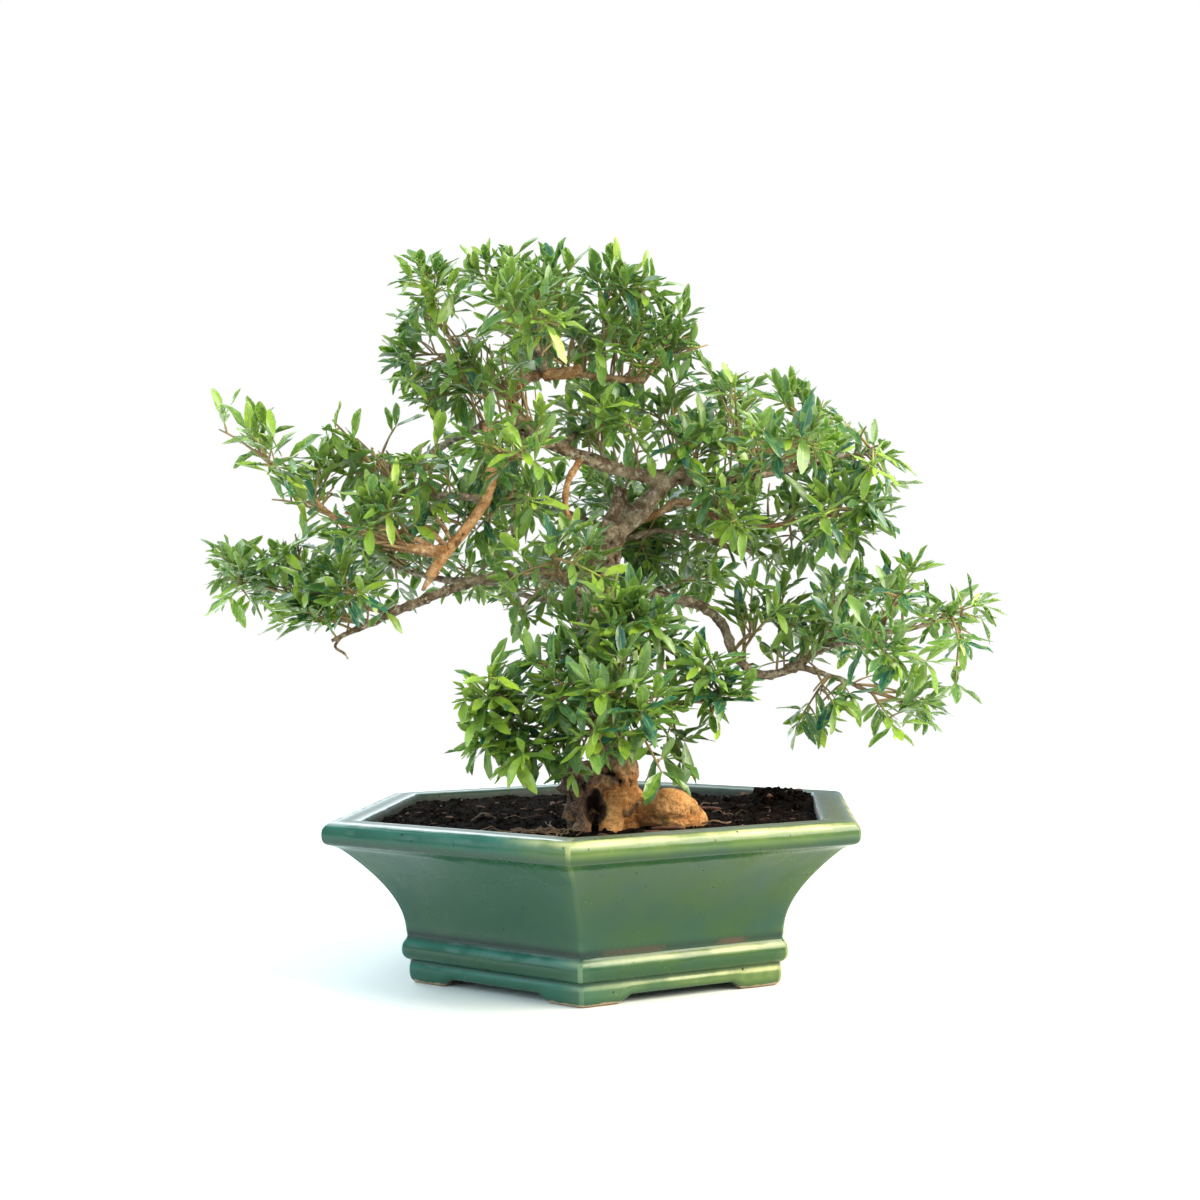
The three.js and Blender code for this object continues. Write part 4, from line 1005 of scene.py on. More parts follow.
@dataclass(frozen=True)
class HexagonPot:
    """The glazed pot: a flared hexagon with a rolled lip, a bead above the foot, and six corner feet."""

    lip: float = 160 * MM
    height: float = 87 * MM
    rim_width: float = 23 * MM
    neck: float = 114.5 * MM
    foot: float = 111 * MM
    foot_ring: float = 16 * MM
    foot_length: float = 20 * MM
    foot_sweep: float = 7 * MM
    foot_lift: float = 4 * MM
    underside: float = 5 * MM
    floor: float = 14 * MM
    drain: float = 9 * MM
    corner: float = 3.0 * MM
    turn: float = POT_TURN
    side_points: int = 18
    corner_points: int = 5
    # Where the glaze runs thin and highlights are painted, in millimetres: radius, height, width and
    # strength, on the lip, the rim, the bead and the foot
    thin_and_highlit_edges: tuple[Row, ...] = (
        (157, 85.5, 3.6, 1.0), (160, 81, 2.8, 0.45), (148, 87, 6, 0.4), (138.5, 87, 2.0, 0.3),
        (116, 22.4, 2.4, 1.0), (113, 9.6, 2.2, 1.0), (113, 5.5, 4.0, 0.5)
    )
    # Where the glaze pools and shade is painted, in millimetres: radius, height, width and strength, above
    # and below the bead and under the lip
    pooled_and_shaded_grooves: tuple[Row, ...] = (
        (113.8, 26, 2.4, 1.0), (112, 12.6, 1.8, 0.95), (159, 77, 2.8, 0.5)
    )
    dusty_slope: tuple[Row, ...] = (
        (136.5, 83, 4.0, 0.8), (134, 77, 5.0, 0.8), (146, 87, 7.0, 0.7)
    )
    foot_wall: float = 9.5 * MM
    round_within: float = 95 * MM
    # The width of the painted highlight beside each corner, the radius beyond which it lies, and the heights
    # over which it fades on the plain wall
    edge_highlight_width: float = 6 * MM
    edge_highlight_from: float = 100 * MM
    plain_body: Row = (26 * MM, 34 * MM, 66 * MM, 76 * MM)

    def outline(self) -> Array:
        """Draw the section from the drain hole, out under the foot, over the lip and back down inside.

        Returns:
            Radius and height in metres, about a millimetre apart, with every edge a little rounded.
        """
        top, lip, neck, foot = self.height, self.lip, self.neck, self.foot
        inner = lip - self.rim_width
        path = Outline(self.drain, self.underside)
        path.line(foot - self.foot_ring, self.underside)
        path.line(foot - self.foot_ring, 0)
        path.line(foot - 1 * MM, 0)
        path.bend((foot + 1.5 * MM, 0.5 * MM), (foot + 2 * MM, 5 * MM))
        path.line(foot + 2 * MM, 9.5 * MM)
        path.line(foot + 0.5 * MM, 12 * MM)
        path.bend((neck + 2.7 * MM, 12.5 * MM), (neck + 2.7 * MM, 17.5 * MM))
        path.bend((neck + 2.7 * MM, 22.5 * MM), (neck - 1 * MM, 24 * MM))
        path.line(neck, 27 * MM)
        path.bend((neck + 0.3 * MM, 47 * MM), (lip - 10.5 * MM, top - 14.4 * MM))
        path.bend((lip - 6 * MM, top - 12.2 * MM), (lip - 2.6 * MM, top - 11.6 * MM))
        path.bend((lip, top - 11 * MM), (lip, top - 6.5 * MM))
        path.bend((lip, top), (lip - 6.5 * MM, top))
        path.line(inner + 2 * MM, top)
        path.line(inner, top - 2 * MM)
        path.line(inner, 78 * MM)
        path.bend((inner - 1 * MM, 71 * MM), (126 * MM, 63 * MM))
        path.bend((107 * MM, 46 * MM), (105 * MM, 20 * MM))
        path.bend((104 * MM, self.floor), (100 * MM, self.floor))
        path.line(self.drain, self.floor)
        return path.rounded(1.25 * MM, 2)

    def ring(self, radius: float) -> tuple[Array, Array]:
        """Walk once round the hexagon.

        Args:
            radius: From the axis to a corner.

        Returns:
            Points in the plane, and each one's distance from the middle of its side.
        """
        flat = radius * math.cos(math.pi / 6)
        inward = np.clip((self.round_within - radius) / (self.round_within - self.drain), 0, 1) ** 2
        bend = self.corner + (flat - self.corner) * inward
        reach = radius / 2 - bend * math.tan(math.pi / 6)
        along = np.linspace(-reach, reach, self.side_points)
        side = np.stack([np.full_like(along, flat), along], axis=1)
        angles = np.linspace(0, math.pi / 3, self.corner_points + 2)[1:-1]
        arc = (flat - bend, reach) + bend * np.stack([np.cos(angles), np.sin(angles)], axis=1)
        once = np.vstack([side, arc])
        offset = np.concatenate([np.abs(along), np.full(len(angles), radius)])
        spots = []
        for k in range(6):
            angle = self.turn + k * math.pi / 3
            turned = np.array([[math.cos(angle), math.sin(angle)], [-math.sin(angle), math.cos(angle)]])
            spots.append(once @ turned)
        return np.vstack(spots), np.tile(offset, 6)

    def lift(self, offset: Array) -> Array:
        """Give the height of the arch between two feet, by distance from the middle of a side."""
        half = self.foot / 2 - self.foot_length
        return self.foot_lift * ease(half - offset, 0.0, self.foot_sweep)

    def build(self, finish: GlazeFinish) -> None:
        """Make the pot.

        Args:
            finish: Its glaze.
        """
        section = self.outline()
        pooled_and_shaded, thin, dusty = self.pooling_highlights_and_dust(section)
        low, low_end, high_end, high = self.plain_body
        rings, values = [], []
        for k, (radius, height) in enumerate(section):
            spots, offset = self.ring(radius)
            wall = self.foot_wall if radius > self.foot - 4 * MM else self.underside
            raised = self.lift(offset) * np.clip(1 - height / wall, 0, 1)
            raised = raised if height < wall else np.zeros_like(offset)
            rings.append(np.column_stack([spots, height + raised]))
            # Painted highlight down the corners of the hexagon and, fainter, beside them where the pot is
            # wide; partly thin glaze over the edges. It fades on the plain middle of the wall and stays out
            # of the grooves
            edge = ease(offset, radius / 2 - self.edge_highlight_width, radius / 2) * (radius > self.edge_highlight_from)
            corner = (offset >= radius - 1e-6) * 0.75 + (offset < radius - 1e-6) * edge * 0.35
            corner *= 1 - 0.75 * ease(height, low, low_end) * ease(-height, -high, -high_end)
            light = np.maximum(thin[k], corner * (1 - pooled_and_shaded[k]))
            even = np.ones_like(light)
            values.append(np.column_stack([light, pooled_and_shaded[k] * even, dusty[k] * even]))
        count = len(rings[0])
        points = np.concatenate(rings)
        outside = points[:, 2] > 10 * MM
        points[:, :2] *= (1 + 0.0012 * bumps(points, 45 * MM, 3) * outside)[:, None]
        skin = Skin()
        skin.add(points, [wrapped(len(rings), count)], glaze=np.concatenate(values))
        hand_over(skin.build("glazed_pot", [finish.material()]), "glaze", "pot")

    def pooling_highlights_and_dust(self, section: Array) -> list[Array]:
        """Work out where glaze pools in the grooves and shade is painted there and under the lip, where it
        runs thin over the edges and highlights are painted, and where dust lies.

        Args:
            section: Radius and height along the section.

        Returns:
            How much the glaze pools and takes painted shade, how thin it runs and how much painted highlight
            it takes, and how dusty it is at each point, from 0 to 1.
        """
        depths = []
        for spots in (self.pooled_and_shaded_grooves, self.thin_and_highlit_edges, self.dusty_slope):
            near = [
                strength * np.exp(-np.sum((section / MM - (radius, height)) ** 2, axis=1) / width**2)
                for radius, height, width, strength in spots
            ]
            depths.append(np.max(near, axis=0))
        return depths


def wrapped(rings: int, count: int) -> Array:
    """Join rings of points into faces, round each ring and from the last ring back to the first.

    Args:
        rings: How many rings there are.
        count: How many points each has.

    Returns:
        The faces, one per row.
    """
    ring, spot = np.meshgrid(np.arange(rings), np.arange(count), indexing="ij")
    here, there = ring * count, (ring + 1) % rings * count
    after = (spot + 1) % count
    return np.stack([here + spot, here + after, there + after, there + spot], axis=-1).reshape(-1, 4)


class Outline:
    """A section drawn with lines and curves."""

    def __init__(self, radius: float, height: float) -> None:
        """Start the section at a point."""
        self.points = [np.array([radius, height])]

    def line(self, radius: float, height: float) -> None:
        """Go straight to a point."""
        self.points.append(np.array([radius, height]))

    def bend(self, control: tuple[float, float], end: tuple[float, float]) -> None:
        """Go to a point along a quadratic curve.

        Args:
            control: The point that pulls the curve.
            end: Where it ends.
        """
        start, middle, last = self.points[-1], np.array(control), np.array(end)
        for t in np.linspace(0, 1, 13)[1:]:
            self.points.append((1 - t) ** 2 * start + 2 * t * (1 - t) * middle + t * t * last)

    def rounded(self, step: float, passes: int) -> Array:
        """Space the points evenly and round the edges.

        Args:
            step: The distance between points.
            passes: How many times to round them.

        Returns:
            The points, one per row, as a closed section.
        """
        points = np.array(self.points + self.points[:1])
        lengths = np.concatenate([[0], np.cumsum(np.linalg.norm(np.diff(points, axis=0), axis=1))])
        even = np.arange(0, lengths[-1], step)
        points = np.column_stack([np.interp(even, lengths, points[:, k]) for k in range(2)])
        for _ in range(passes):
            points = (np.roll(points, 1, axis=0) + 2 * points + np.roll(points, -1, axis=0)) / 4
        return points


def lumps(skin: Skin, centres: Array, sizes: Array, ball: tuple[Array, Array], seed: int) -> None:
    """Scatter rough lumps.

    Args:
        skin: The mesh to add them to.
        centres: Their places.
        sizes: Their half sizes along X, Y and Z.
        ball: The points and the faces of a plain ball.
        seed: Picks their shapes.
    """
    points, faces = ball
    for k, (centre, size) in enumerate(zip(centres, sizes)):
        shape = points * (1 + 0.35 * bumps(points + 7 * k, 0.8, seed))[:, None]
        angle = 3 * vary(k, seed)
        turned = shape * size @ np.array(Matrix.Rotation(angle, 3, (0.3, 0.4, 1)))
        skin.add(turned + centre, [faces])


def open_edge(faces: Array) -> Array:
    """Walk once round the open edge of a sheet of faces, and give its points in order.

    Args:
        faces: The faces, one per row.

    Returns:
        The numbers of the points along the edge.
    """
    pairs = set(zip(faces.ravel().tolist(), np.roll(faces, -1, axis=1).ravel().tolist()))
    following = {here: there for here, there in pairs if (there, here) not in pairs}
    walk = [min(following)]
    while following[walk[-1]] != walk[0]:
        walk.append(following[walk[-1]])
    return np.array(walk)


def plain_ball(divisions: int) -> tuple[Array, Array]:
    """Make a ball of radius one, to shape lumps from.

    Args:
        divisions: How finely it is divided.

    Returns:
        Its points and its faces.
    """
    form = bmesh.new()
    bmesh.ops.create_icosphere(form, subdivisions=divisions, radius=1.0)
    points = np.array([spot.co[:] for spot in form.verts])
    faces = np.array([[spot.index for spot in face.verts] for face in form.faces])
    form.free()
    return points, faces


@dataclass(frozen=True)
class SoilBed:
    """The soil in the pot, with its clods, bark slivers and thin roots on top."""

    level: float = 81.5 * MM
    wall: float = 136.6 * MM
    step: float = 1.6 * MM
    skirt: float = 6 * MM
    heap_place: tuple[float, float] = (104 * MM, 40 * MM)
    heap_height: float = 7 * MM
    heap_spread: float = 26 * MM
    crumbs: tuple[tuple[int, float, float, float, int], ...] = (
        (2300, 0, 0.35 * MM, 1.0 * MM, 1), (150, 15 * MM, 1.0 * MM, 2.6 * MM, 2),
        (60, 0, 0.8 * MM, 1.5 * MM, 2)
    )
    sliver_count: int = 170
    sliver_size: float = 9 * MM
    root_count: int = 30
    roots_at_trunk: int = 16
    turn: float = POT_TURN

    def height(self, x: Array, y: Array) -> Array:
        """Give the height of the soil: low clods all over, and a heap at the right towards the back.

        Args:
            x: Places from left to right.
            y: The same places from front to back.

        Returns:
            The heights.
        """
        across, back = x / MM, y / MM
        heap_x, heap_y = self.heap_place
        heap = np.exp(-((x - heap_x) ** 2 + (y - heap_y) ** 2) / self.heap_spread**2)
        rows = np.sin(across * 0.21 + 1.3 * np.sin(back * 0.13))
        clods = rows * np.cos(back * 0.24 + np.sin(across * 0.17))
        return self.level + self.heap_height * heap + (1.2 + heap) * clods * MM

    def within(self, x: Array, y: Array) -> Array:
        """Give how far out a place is, from 0 on the axis to 1 at the wall of the pot.

        Args:
            x: Places from left to right.
            y: The same places from front to back.

        Returns:
            The share of the way out.
        """
        angles = self.turn + np.arange(6) * math.pi / 3
        reach = np.max(np.multiply.outer(x, np.cos(angles)) + np.multiply.outer(y, np.sin(angles)), axis=-1)
        return reach / (self.wall * math.cos(math.pi / 6))

    def surface(self, x: Array, y: Array) -> Array:
        """Give points on the crumbly top of the soil.

        Args:
            x: Places from left to right.
            y: The same places from front to back.

        Returns:
            The points, one per row.
        """
        flat = np.column_stack([x, y, np.zeros_like(x)])
        crumbs = 1.1 * MM * rough(flat, 5 * MM, 3, 5) + 0.7 * MM * np.abs(bumps(flat, 2.2 * MM, 9))
        return np.column_stack([x, y, self.height(x, y) + crumbs])

    def build(self, finish: SoilFinish) -> None:
        """Make the soil.

        Args:
            finish: Its material.
        """
        material = finish.material()
        self.build_bed(material)
        self.build_clods(material)
        self.build_slivers()
        self.build_fine_roots()

    def build_bed(self, material: Material) -> None:
        """Make the soil itself, with a skirt and an underside that the pot hides.

        Args:
            material: Its material.
        """
        lines = np.arange(-self.wall, self.wall + self.step, self.step)
        x, y = (axis.ravel() for axis in np.meshgrid(lines, lines, indexing="ij"))
        out = self.within(x, y)
        first = np.arange(len(lines) ** 2).reshape(len(lines), -1)
        squares = np.stack([first[:-1, :-1], first[1:, :-1], first[1:, 1:], first[:-1, 1:]], axis=-1)
        squares = squares.reshape(-1, 4)
        kept = squares[(out[squares] < 1 + 1.2 * self.step / self.wall).all(axis=1)]
        used, faces = np.unique(kept, return_inverse=True)
        pulled = np.maximum(out, 1)
        top, faces = self.surface(x / pulled, y / pulled)[used], faces.reshape(-1, 4)
        edge = open_edge(faces)
        bottom = np.column_stack([top[edge, :2], np.full(len(edge), self.level - self.skirt)])
        below = len(top) + np.arange(len(edge))
        skirt = np.stack([edge, below, np.roll(below, -1), np.roll(edge, -1)], axis=1)
        skin = Skin()
        skin.add(np.vstack([top, bottom]), [faces, skirt, below[None, ::-1]])
        hand_over(skin.build("soil_bed", [material]), "soil", "soil")

    def build_clods(self, material: Material) -> None:
        """Strew crumbs over the soil, with bigger clods on the heap.

        Args:
            material: The soil's material.
        """
        draw = np.random.default_rng(11)
        reach = 130 * MM
        skin = Skin()
        for count, spread, small, large, divisions in self.crumbs:
            x, y = draw.normal(0, spread, (2, count)) if spread else draw.uniform(-reach, reach, (2, count))
            if spread:
                x, y = x + self.heap_place[0], y + self.heap_place[1]
            sizes = draw.uniform(small, large, (count, 3)) * draw.uniform(0.7, 1.3, (count, 1))
            inside = self.within(x, y) < 0.975
            x, y, sizes = x[inside], y[inside], sizes[inside]
            centres = self.surface(x, y) + np.outer(sizes[:, 2], 0.3 * UP)
            lumps(skin, centres, sizes, plain_ball(divisions), 21 + count)
        hand_over(skin.build("soil_clods", [material]), "soil")

    def build_slivers(self) -> None:
        """Lay slivers of reddish bark on the soil."""
        draw = np.random.default_rng(5)
        finish = PlainFinish("bark_sliver", (0.03, 0.012, 0.008, 1), (0.20, 0.075, 0.038, 1), 4 * MM)
        near = [(62, 8, 0.5), (98, 26, 1.2), (26, -84, 0.4), (34, -80, 0.25), (88, 44, 2.2), (112, 38, 0.9)]
        spots = [(x * MM, y * MM, turn, self.sliver_size) for x, y, turn in near]
        reach = 120 * MM
        lowest, highest = (-reach, -reach, 0, 0.12), (reach, reach, 3.1, 0.5)
        for x, y, turn, size in draw.uniform(lowest, highest, (self.sliver_count, 4)):
            if self.within(x, y) < 0.95:
                spots.append((x, y, turn, self.sliver_size * size))
        skin = Skin()
        for k, (x, y, turn, size) in enumerate(spots):
            direction = np.array([[math.cos(turn), math.sin(turn), 0.12 * vary(k, 2)]])
            run = np.linspace(-1, 1, 6)[:, None] * size * direction
            middle = run + self.surface(np.array([x]), np.array([y])) + 0.9 * MM * UP
            width = (0.35 + np.sin(np.linspace(0.3, 2.7, 6)))[:, None] * size * 0.13
            points, faces = sweep(middle, width * np.array([[1, 0.5, 1.1, 0.4, 1, 0.5]]))
            skin.add(points + 0.25 * MM * bumps(points, 2 * MM, k)[:, None], faces)
        hand_over(skin.build("bark_slivers", [finish.material()]), "soil")

    def build_fine_roots(self) -> None:
        """Lay thin pale roots over the soil, most of them to the left of the trunk."""
        draw = np.random.default_rng(8)
        finish = PlainFinish("fine_root", (0.07, 0.040, 0.024, 1), (0.28, 0.175, 0.105, 1), 5 * MM)
        skin = Skin()
        for k in range(self.root_count):
            wide = k >= self.roots_at_trunk
            start = draw.uniform((-90, -90), (90, 80)) if wide else draw.uniform((-26, -92), (-8, -70))
            angle = draw.uniform(0, 6.3) if wide else draw.uniform(2.6, 3.9)
            length = draw.uniform(16, 44)
            along = np.linspace(0, 1, 14)
            angles = angle + 0.9 * np.cumsum([vary(k, j) for j in range(14)]) * 0.4
            steps = np.column_stack([np.cos(angles), np.sin(angles)]) * length / 14
            flat = (start + np.cumsum(steps, axis=0)) * MM
            middle = self.surface(flat[:, 0], flat[:, 1])
            middle[:, 2] += (0.4 + 1.6 * np.sin(along * math.pi * (1 + k % 3)) ** 2) * MM
            reach = np.outer(np.linspace(0.75, 0.3, 14), np.ones(6)) * draw.uniform(0.45, 0.9) * MM
            if (self.within(flat[:, 0], flat[:, 1]) < 0.97).all():
                skin.add(*sweep(middle, reach))
        hand_over(skin.build("fine_roots", [finish.material()]), "bark")


def read_vectors(items: bpy.types.bpy_prop_collection, name: str) -> Array:
    """Read one vector of each of a mesh's points, one per row.

    Args:
        items: The points.
        name: What to read of them.

    Returns:
        The vectors.
    """
    flat = np.empty(len(items) * 3, np.float32)
    items.foreach_get(name, flat)
    return flat.reshape(-1, 3).astype(float)


@dataclass(frozen=True)
class Wood:
    """The trunk, its roots and its limbs, with their bark."""

    voxel: float = 0.92 * MM
    trunk_sides: int = 16
    branch_sides: int = 10
    burrs: tuple[tuple[Place, float, float], ...] = (
        ((9, -6, 238), 9, 2.6), ((-20, -65, 110), 8, 2.4), ((-8, -70, 110), 7, 2.0), ((16, -66, 103), 8, 1.6),
        ((2, -8, 222), 9, 2.0), ((-4, -30, 178), 9, 2.2), ((58, -6, 272), 7, 1.8), ((-12, -80, 84), 6, 1.6)
    )
    hollow_place: Place = (-3.5 * MM, -73 * MM, 95 * MM)
    hollow_size: Place = (6.4 * MM, 12 * MM, 10 * MM)

    def build(self, finish: BarkFinish) -> None:
        """Make all the wood.

        Args:
            finish: Its bark.
        """
        material = finish.material()
        self.build_trunk(material)
        self.build_branches(material)

    def build_trunk(self, material: Material) -> None:
        """Grow the trunk, the roots and the thick limbs together, then raise their bark.

        Args:
            material: Their bark.
        """
        skin, rows = self.rough_cut()
        mesh = self.fused(skin)
        points, out = read_vectors(mesh.vertices, "co"), read_vectors(mesh.vertex_normals, "vector")
        spots = rows[:, :3]
        tree = KDTree(len(spots))
        for k, spot in enumerate(spots):
            tree.insert(Vector(spot), k)
        tree.balance()
        nearest = rows[[tree.find(Vector(point))[1] for point in points]]
        along, run, trait = nearest[:, 3:6], nearest[:, 6], nearest[:, 7:]
        off = points - nearest[:, :3]
        off += along * (0.25 * run - np.sum(off * along, axis=1))[:, None]
        points, values = self.barked(points, out, off, trait)
        mesh.vertices.foreach_set("co", points.astype(np.float32).ravel())
        layer = mesh.attributes.new("wood", "FLOAT_VECTOR", "POINT")
        layer.data.foreach_set("vector", values.astype(np.float32).ravel())
        mesh.polygons.foreach_set("use_smooth", np.ones(len(mesh.polygons), bool))
        mesh.name = "trunk_and_roots"
        hand_over(as_object("trunk_and_roots", mesh, [material]), "bark", "tree_wood")

    def rough_cut(self) -> tuple[Skin, Array]:
        """Sweep the trunk, the roots and the thick limbs, with ridges along them.

        Returns:
            Their mesh, and a row for each place along their middles: the place, the direction of the
            limb, how far along it is, how corky and how dead the limb is, and how thick.
        """
        skin, rows = Skin(), []
        turn = np.arange(self.trunk_sides) * 2 * math.pi / self.trunk_sides
        for name, track in ({"trunk": TRUNK} | ROOTS | THICK_LIMBS).items():
            limb = Limb(track)
            stops = limb.stops(1.5 * MM)
            middle, radius = limb.line(stops), limb.radius(stops)
            share = stops[:, None]
            ridges = np.sin(3 * turn + 5 * share) - 0.5 * np.cos(5 * turn - 3 * share)
            depth = {"dead_root": 0.13, "front_leg": 0.13, "trunk": 0.06}.get(name, 0.04)
            skin.add(*sweep(middle, radius[:, None] * (1 + depth * ridges)))
            traits = np.tile([CORKY.get(name, 0.12), DEAD.get(name, 0.0), radius.mean()], (len(stops), 1))
            along, run = unit(np.gradient(middle, axis=0)), stops * limb.length()
            rows.append(np.column_stack([middle, along, run, traits]))
        return skin, np.concatenate(rows)

    def fused(self, skin: Skin) -> bpy.types.Mesh:
        """Grow limbs that run into each other into one soft surface.

        Args:
            skin: The limbs as they were swept.

        Returns:
            The mesh.
        """
        rough_cut = skin.build("trunk_rough", [])
        grown = rough_cut.modifiers.new("grow", "REMESH")
        grown.mode, grown.voxel_size = "VOXEL", self.voxel
        soft = rough_cut.modifiers.new("soften", "SMOOTH")
        soft.factor, soft.iterations = 0.5, 4
        shaped = rough_cut.evaluated_get(bpy.context.evaluated_depsgraph_get())
        mesh = bpy.data.meshes.new_from_object(shaped)
        bpy.data.objects.remove(rough_cut)
        return mesh

    def barked(self, points: Array, out: Array, off: Array, trait: Array) -> tuple[Array, Array]:
        """Raise the bark and open the hollow.

        Args:
            points: Places on the smooth wood.
            out: The direction out of the wood at each.
            off: The same places along a straightened limb, so that the bark runs along the wood.
            trait: How corky and how dead the wood is there, and how thick.

        Returns:
            The raised points, and how corky, how dead and how raised the wood is there; the last is low in
            pits and furrows and deep in the hollow, where the bark paints shade.
        """
        thick = np.clip(trait[:, 2] / (10 * MM), 0.3, 1.1)
        ridges = rough(off, 3.2 * MM, 3, 2)
        knobs = rough(points, 13 * MM, 2, 6)
        pits = np.clip(bumps(points, 1.9 * MM, 4) - 0.15, 0, 1)
        flutes = bumps(off, 6 * MM, 12)
        low = ease(-points[:, 2], -125 * MM, -100 * MM)
        dead = np.clip(trait[:, 1] + 0.8 * ease(-points[:, 0], 4 * MM, 12 * MM) * low, 0, 1)
        swells = bumps(points, 8 * MM, 15)
        even = 1 - 0.5 * trait[:, 0]
        height = ((1.5 * ridges + 1.8 * knobs + 1.5 * swells) * even - 1.2 * pits) * thick
        height = (height + dead * (1.2 * ridges + 1.6 * knobs + 1.8 * flutes)) * MM
        for place, size, rise in self.burrs:
            off_burr = np.linalg.norm(points - np.array(place) * MM, axis=1)
            height += rise * MM * ease(-off_burr, -size * MM, -0.3 * size * MM)
        raised = points + out * height[:, None]
        across = (raised[:, 0] - self.hollow_place[0]) / self.hollow_size[0]
        level = (raised[:, 2] - self.hollow_place[2]) / self.hollow_size[2]
        inside = 1 - across**2 - level**2 + 0.25 * bumps(points, 4 * MM, 7)
        back = self.hollow_place[1] + self.hollow_size[1] * np.sqrt(np.clip(inside, 0, 1))
        cut = (inside > 0) & (raised[:, 1] < back) & (raised[:, 1] > -95 * MM)
        raised[cut, 1] = back[cut]
        corky = np.maximum(trait[:, 0] * (1 - low), low)
        dead = np.where(cut, 1.0, dead)
        # A mask for painted shade: low in the furrows, the pits and the flutes of dead wood, and falling to
        # nothing deep in the hollow
        open_shade = 0.55 + 0.35 * ridges + 0.4 * flutes * dead - 0.3 * pits
        shade = np.where(cut, 0.5 - 0.5 * np.clip(inside, 0, 1), open_shade)
        return raised, np.column_stack([corky, dead, shade])

    def build_branches(self, material: Material) -> None:
        """Make the thin limbs, with a collar where each leaves thicker wood and a knot at each old node.

        Args:
            material: Their bark.
        """
        skin = Skin()
        for k, (name, rows) in enumerate((THIN_LIMBS | BARE_TWIGS).items()):
            limb = Limb(rows)
            stops = limb.stops(1.3 * MM)
            run = stops * limb.length()
            knots = 0.24 * np.exp(-(((run / MM + 5 * k) % 13 - 6.5) ** 2) / 2.5)
            collar = 0.45 * np.exp(-run / (3.5 * MM)) * (name in THIN_LIMBS)
            middle = limb.line(stops)
            middle += 0.35 * MM * np.column_stack([bumps(middle, 9 * MM, seed) for seed in (31, 32, 33)])
            sides = range(self.branch_sides)
            grain = np.array([[vary(i // 3, j + k) for j in sides] for i in range(len(stops))])
            reach = limb.radius(stops)[:, None] * (1 + knots + collar)[:, None] * (1 + 0.1 * grain)
            points, faces = sweep(middle, reach)
            usual = 0.5 if name in BARE_TWIGS else 0.08
            shade = 0.55 + 0.3 * bumps(points, 1.6 * MM, 3)
            corky = np.full_like(shade, CORKY.get(name, usual))
            skin.add(points, faces, wood=np.column_stack([corky, np.zeros_like(shade), shade]))
        hand_over(skin.build("branches", [material]), "bark")


class Shoot:
    """One young shoot, from its start to its tip, bowed upwards."""

    RISE = 0.1
    SIDE = np.array([1.0, 0.2, 0.1])

    def __init__(self, start: Array, tip: Array, turn: float) -> None:
        """Bow the shoot and set how its first leaf pair is turned.

        Args:
            start: Where it leaves the wood.
            tip: Where it ends.
            turn: The turn of its first pair of leaves, in radians.
        """
        self.start, self.tip = start, tip
        self.span = float(np.linalg.norm(tip - start))
        self.middle = (start + tip) / 2 + UP * self.RISE * self.span
        first = unit(self.middle - start)
        across = square_to(self.SIDE, first)
        self.across = across * math.cos(turn) + np.cross(first, across) * math.sin(turn)

    def point(self, t: float | Array) -> Array:
        """Give the place at a share of the way to the tip."""
        t = np.asarray(t, float)[..., None]
        return (1 - t) ** 2 * self.start + 2 * t * (1 - t) * self.middle + t * t * self.tip

    def frame(self, t: float) -> tuple[Array, Array, Array]:
        """Give the directions along, across and beside the shoot.

        Args:
            t: The share of the way to the tip.

        Returns:
            The three directions.
        """
        along = unit((1 - t) * (self.middle - self.start) + t * (self.tip - self.middle))
        across = square_to(self.across, along)
        return along, across, np.cross(along, across)


@dataclass(frozen=True)
class Blade:
    """The shape that every leaf is bent and scaled from."""

    stations: tuple[float, ...] = (0.0, 0.12, 0.34, 0.58, 0.8, 0.94, 1.0)
    columns: tuple[float, ...] = (-1.0, 0.0, 1.0)

    def pattern(self) -> tuple[Array, Array, list[Array]]:
        """Lay out one leaf flat.

        Returns:
            Each point's place along and across the blade and 1 if it is underneath, each point's half
            width, and the faces.
        """
        rows = [(0.0, 0.0, 0.0)]
        rows += [(s, c, 0.0) for s in self.stations[1:-1] for c in self.columns]
        rows += [(1.0, 0.0, 0.0)]
        rows += [(s, 0.0, 1.0) for s in self.stations[1:-1]]
        grid = np.array(rows)
        half = np.sin(math.pi * grid[:, 0] ** 1.25) ** 0.68
        bands, wide = len(self.stations) - 3, len(self.columns)
        tip, under = 1 + (bands + 1) * wide, 2 + (bands + 1) * wide
        quads, ends = [], []
        for i in range(bands):
            low, high = 1 + i * wide, 1 + (i + 1) * wide
            quads += [(low + j, low + j + 1, high + j + 1, high + j) for j in range(wide - 1)]
            quads += [(low + wide - 1, under + i, under + i + 1, high + wide - 1)]
            quads += [(under + i, low, high, under + i + 1)]
        last = 1 + bands * wide
        ends += [(0, 2 + j, 1 + j) for j in range(wide - 1)] + [(0, under, wide), (0, 1, under)]
        ends += [(last + j, last + j + 1, tip) for j in range(wide - 1)]
        ends += [(last + wide - 1, under + bands, tip), (under + bands, last, tip)]
        return grid, half, [np.array(quads), np.array(ends)]


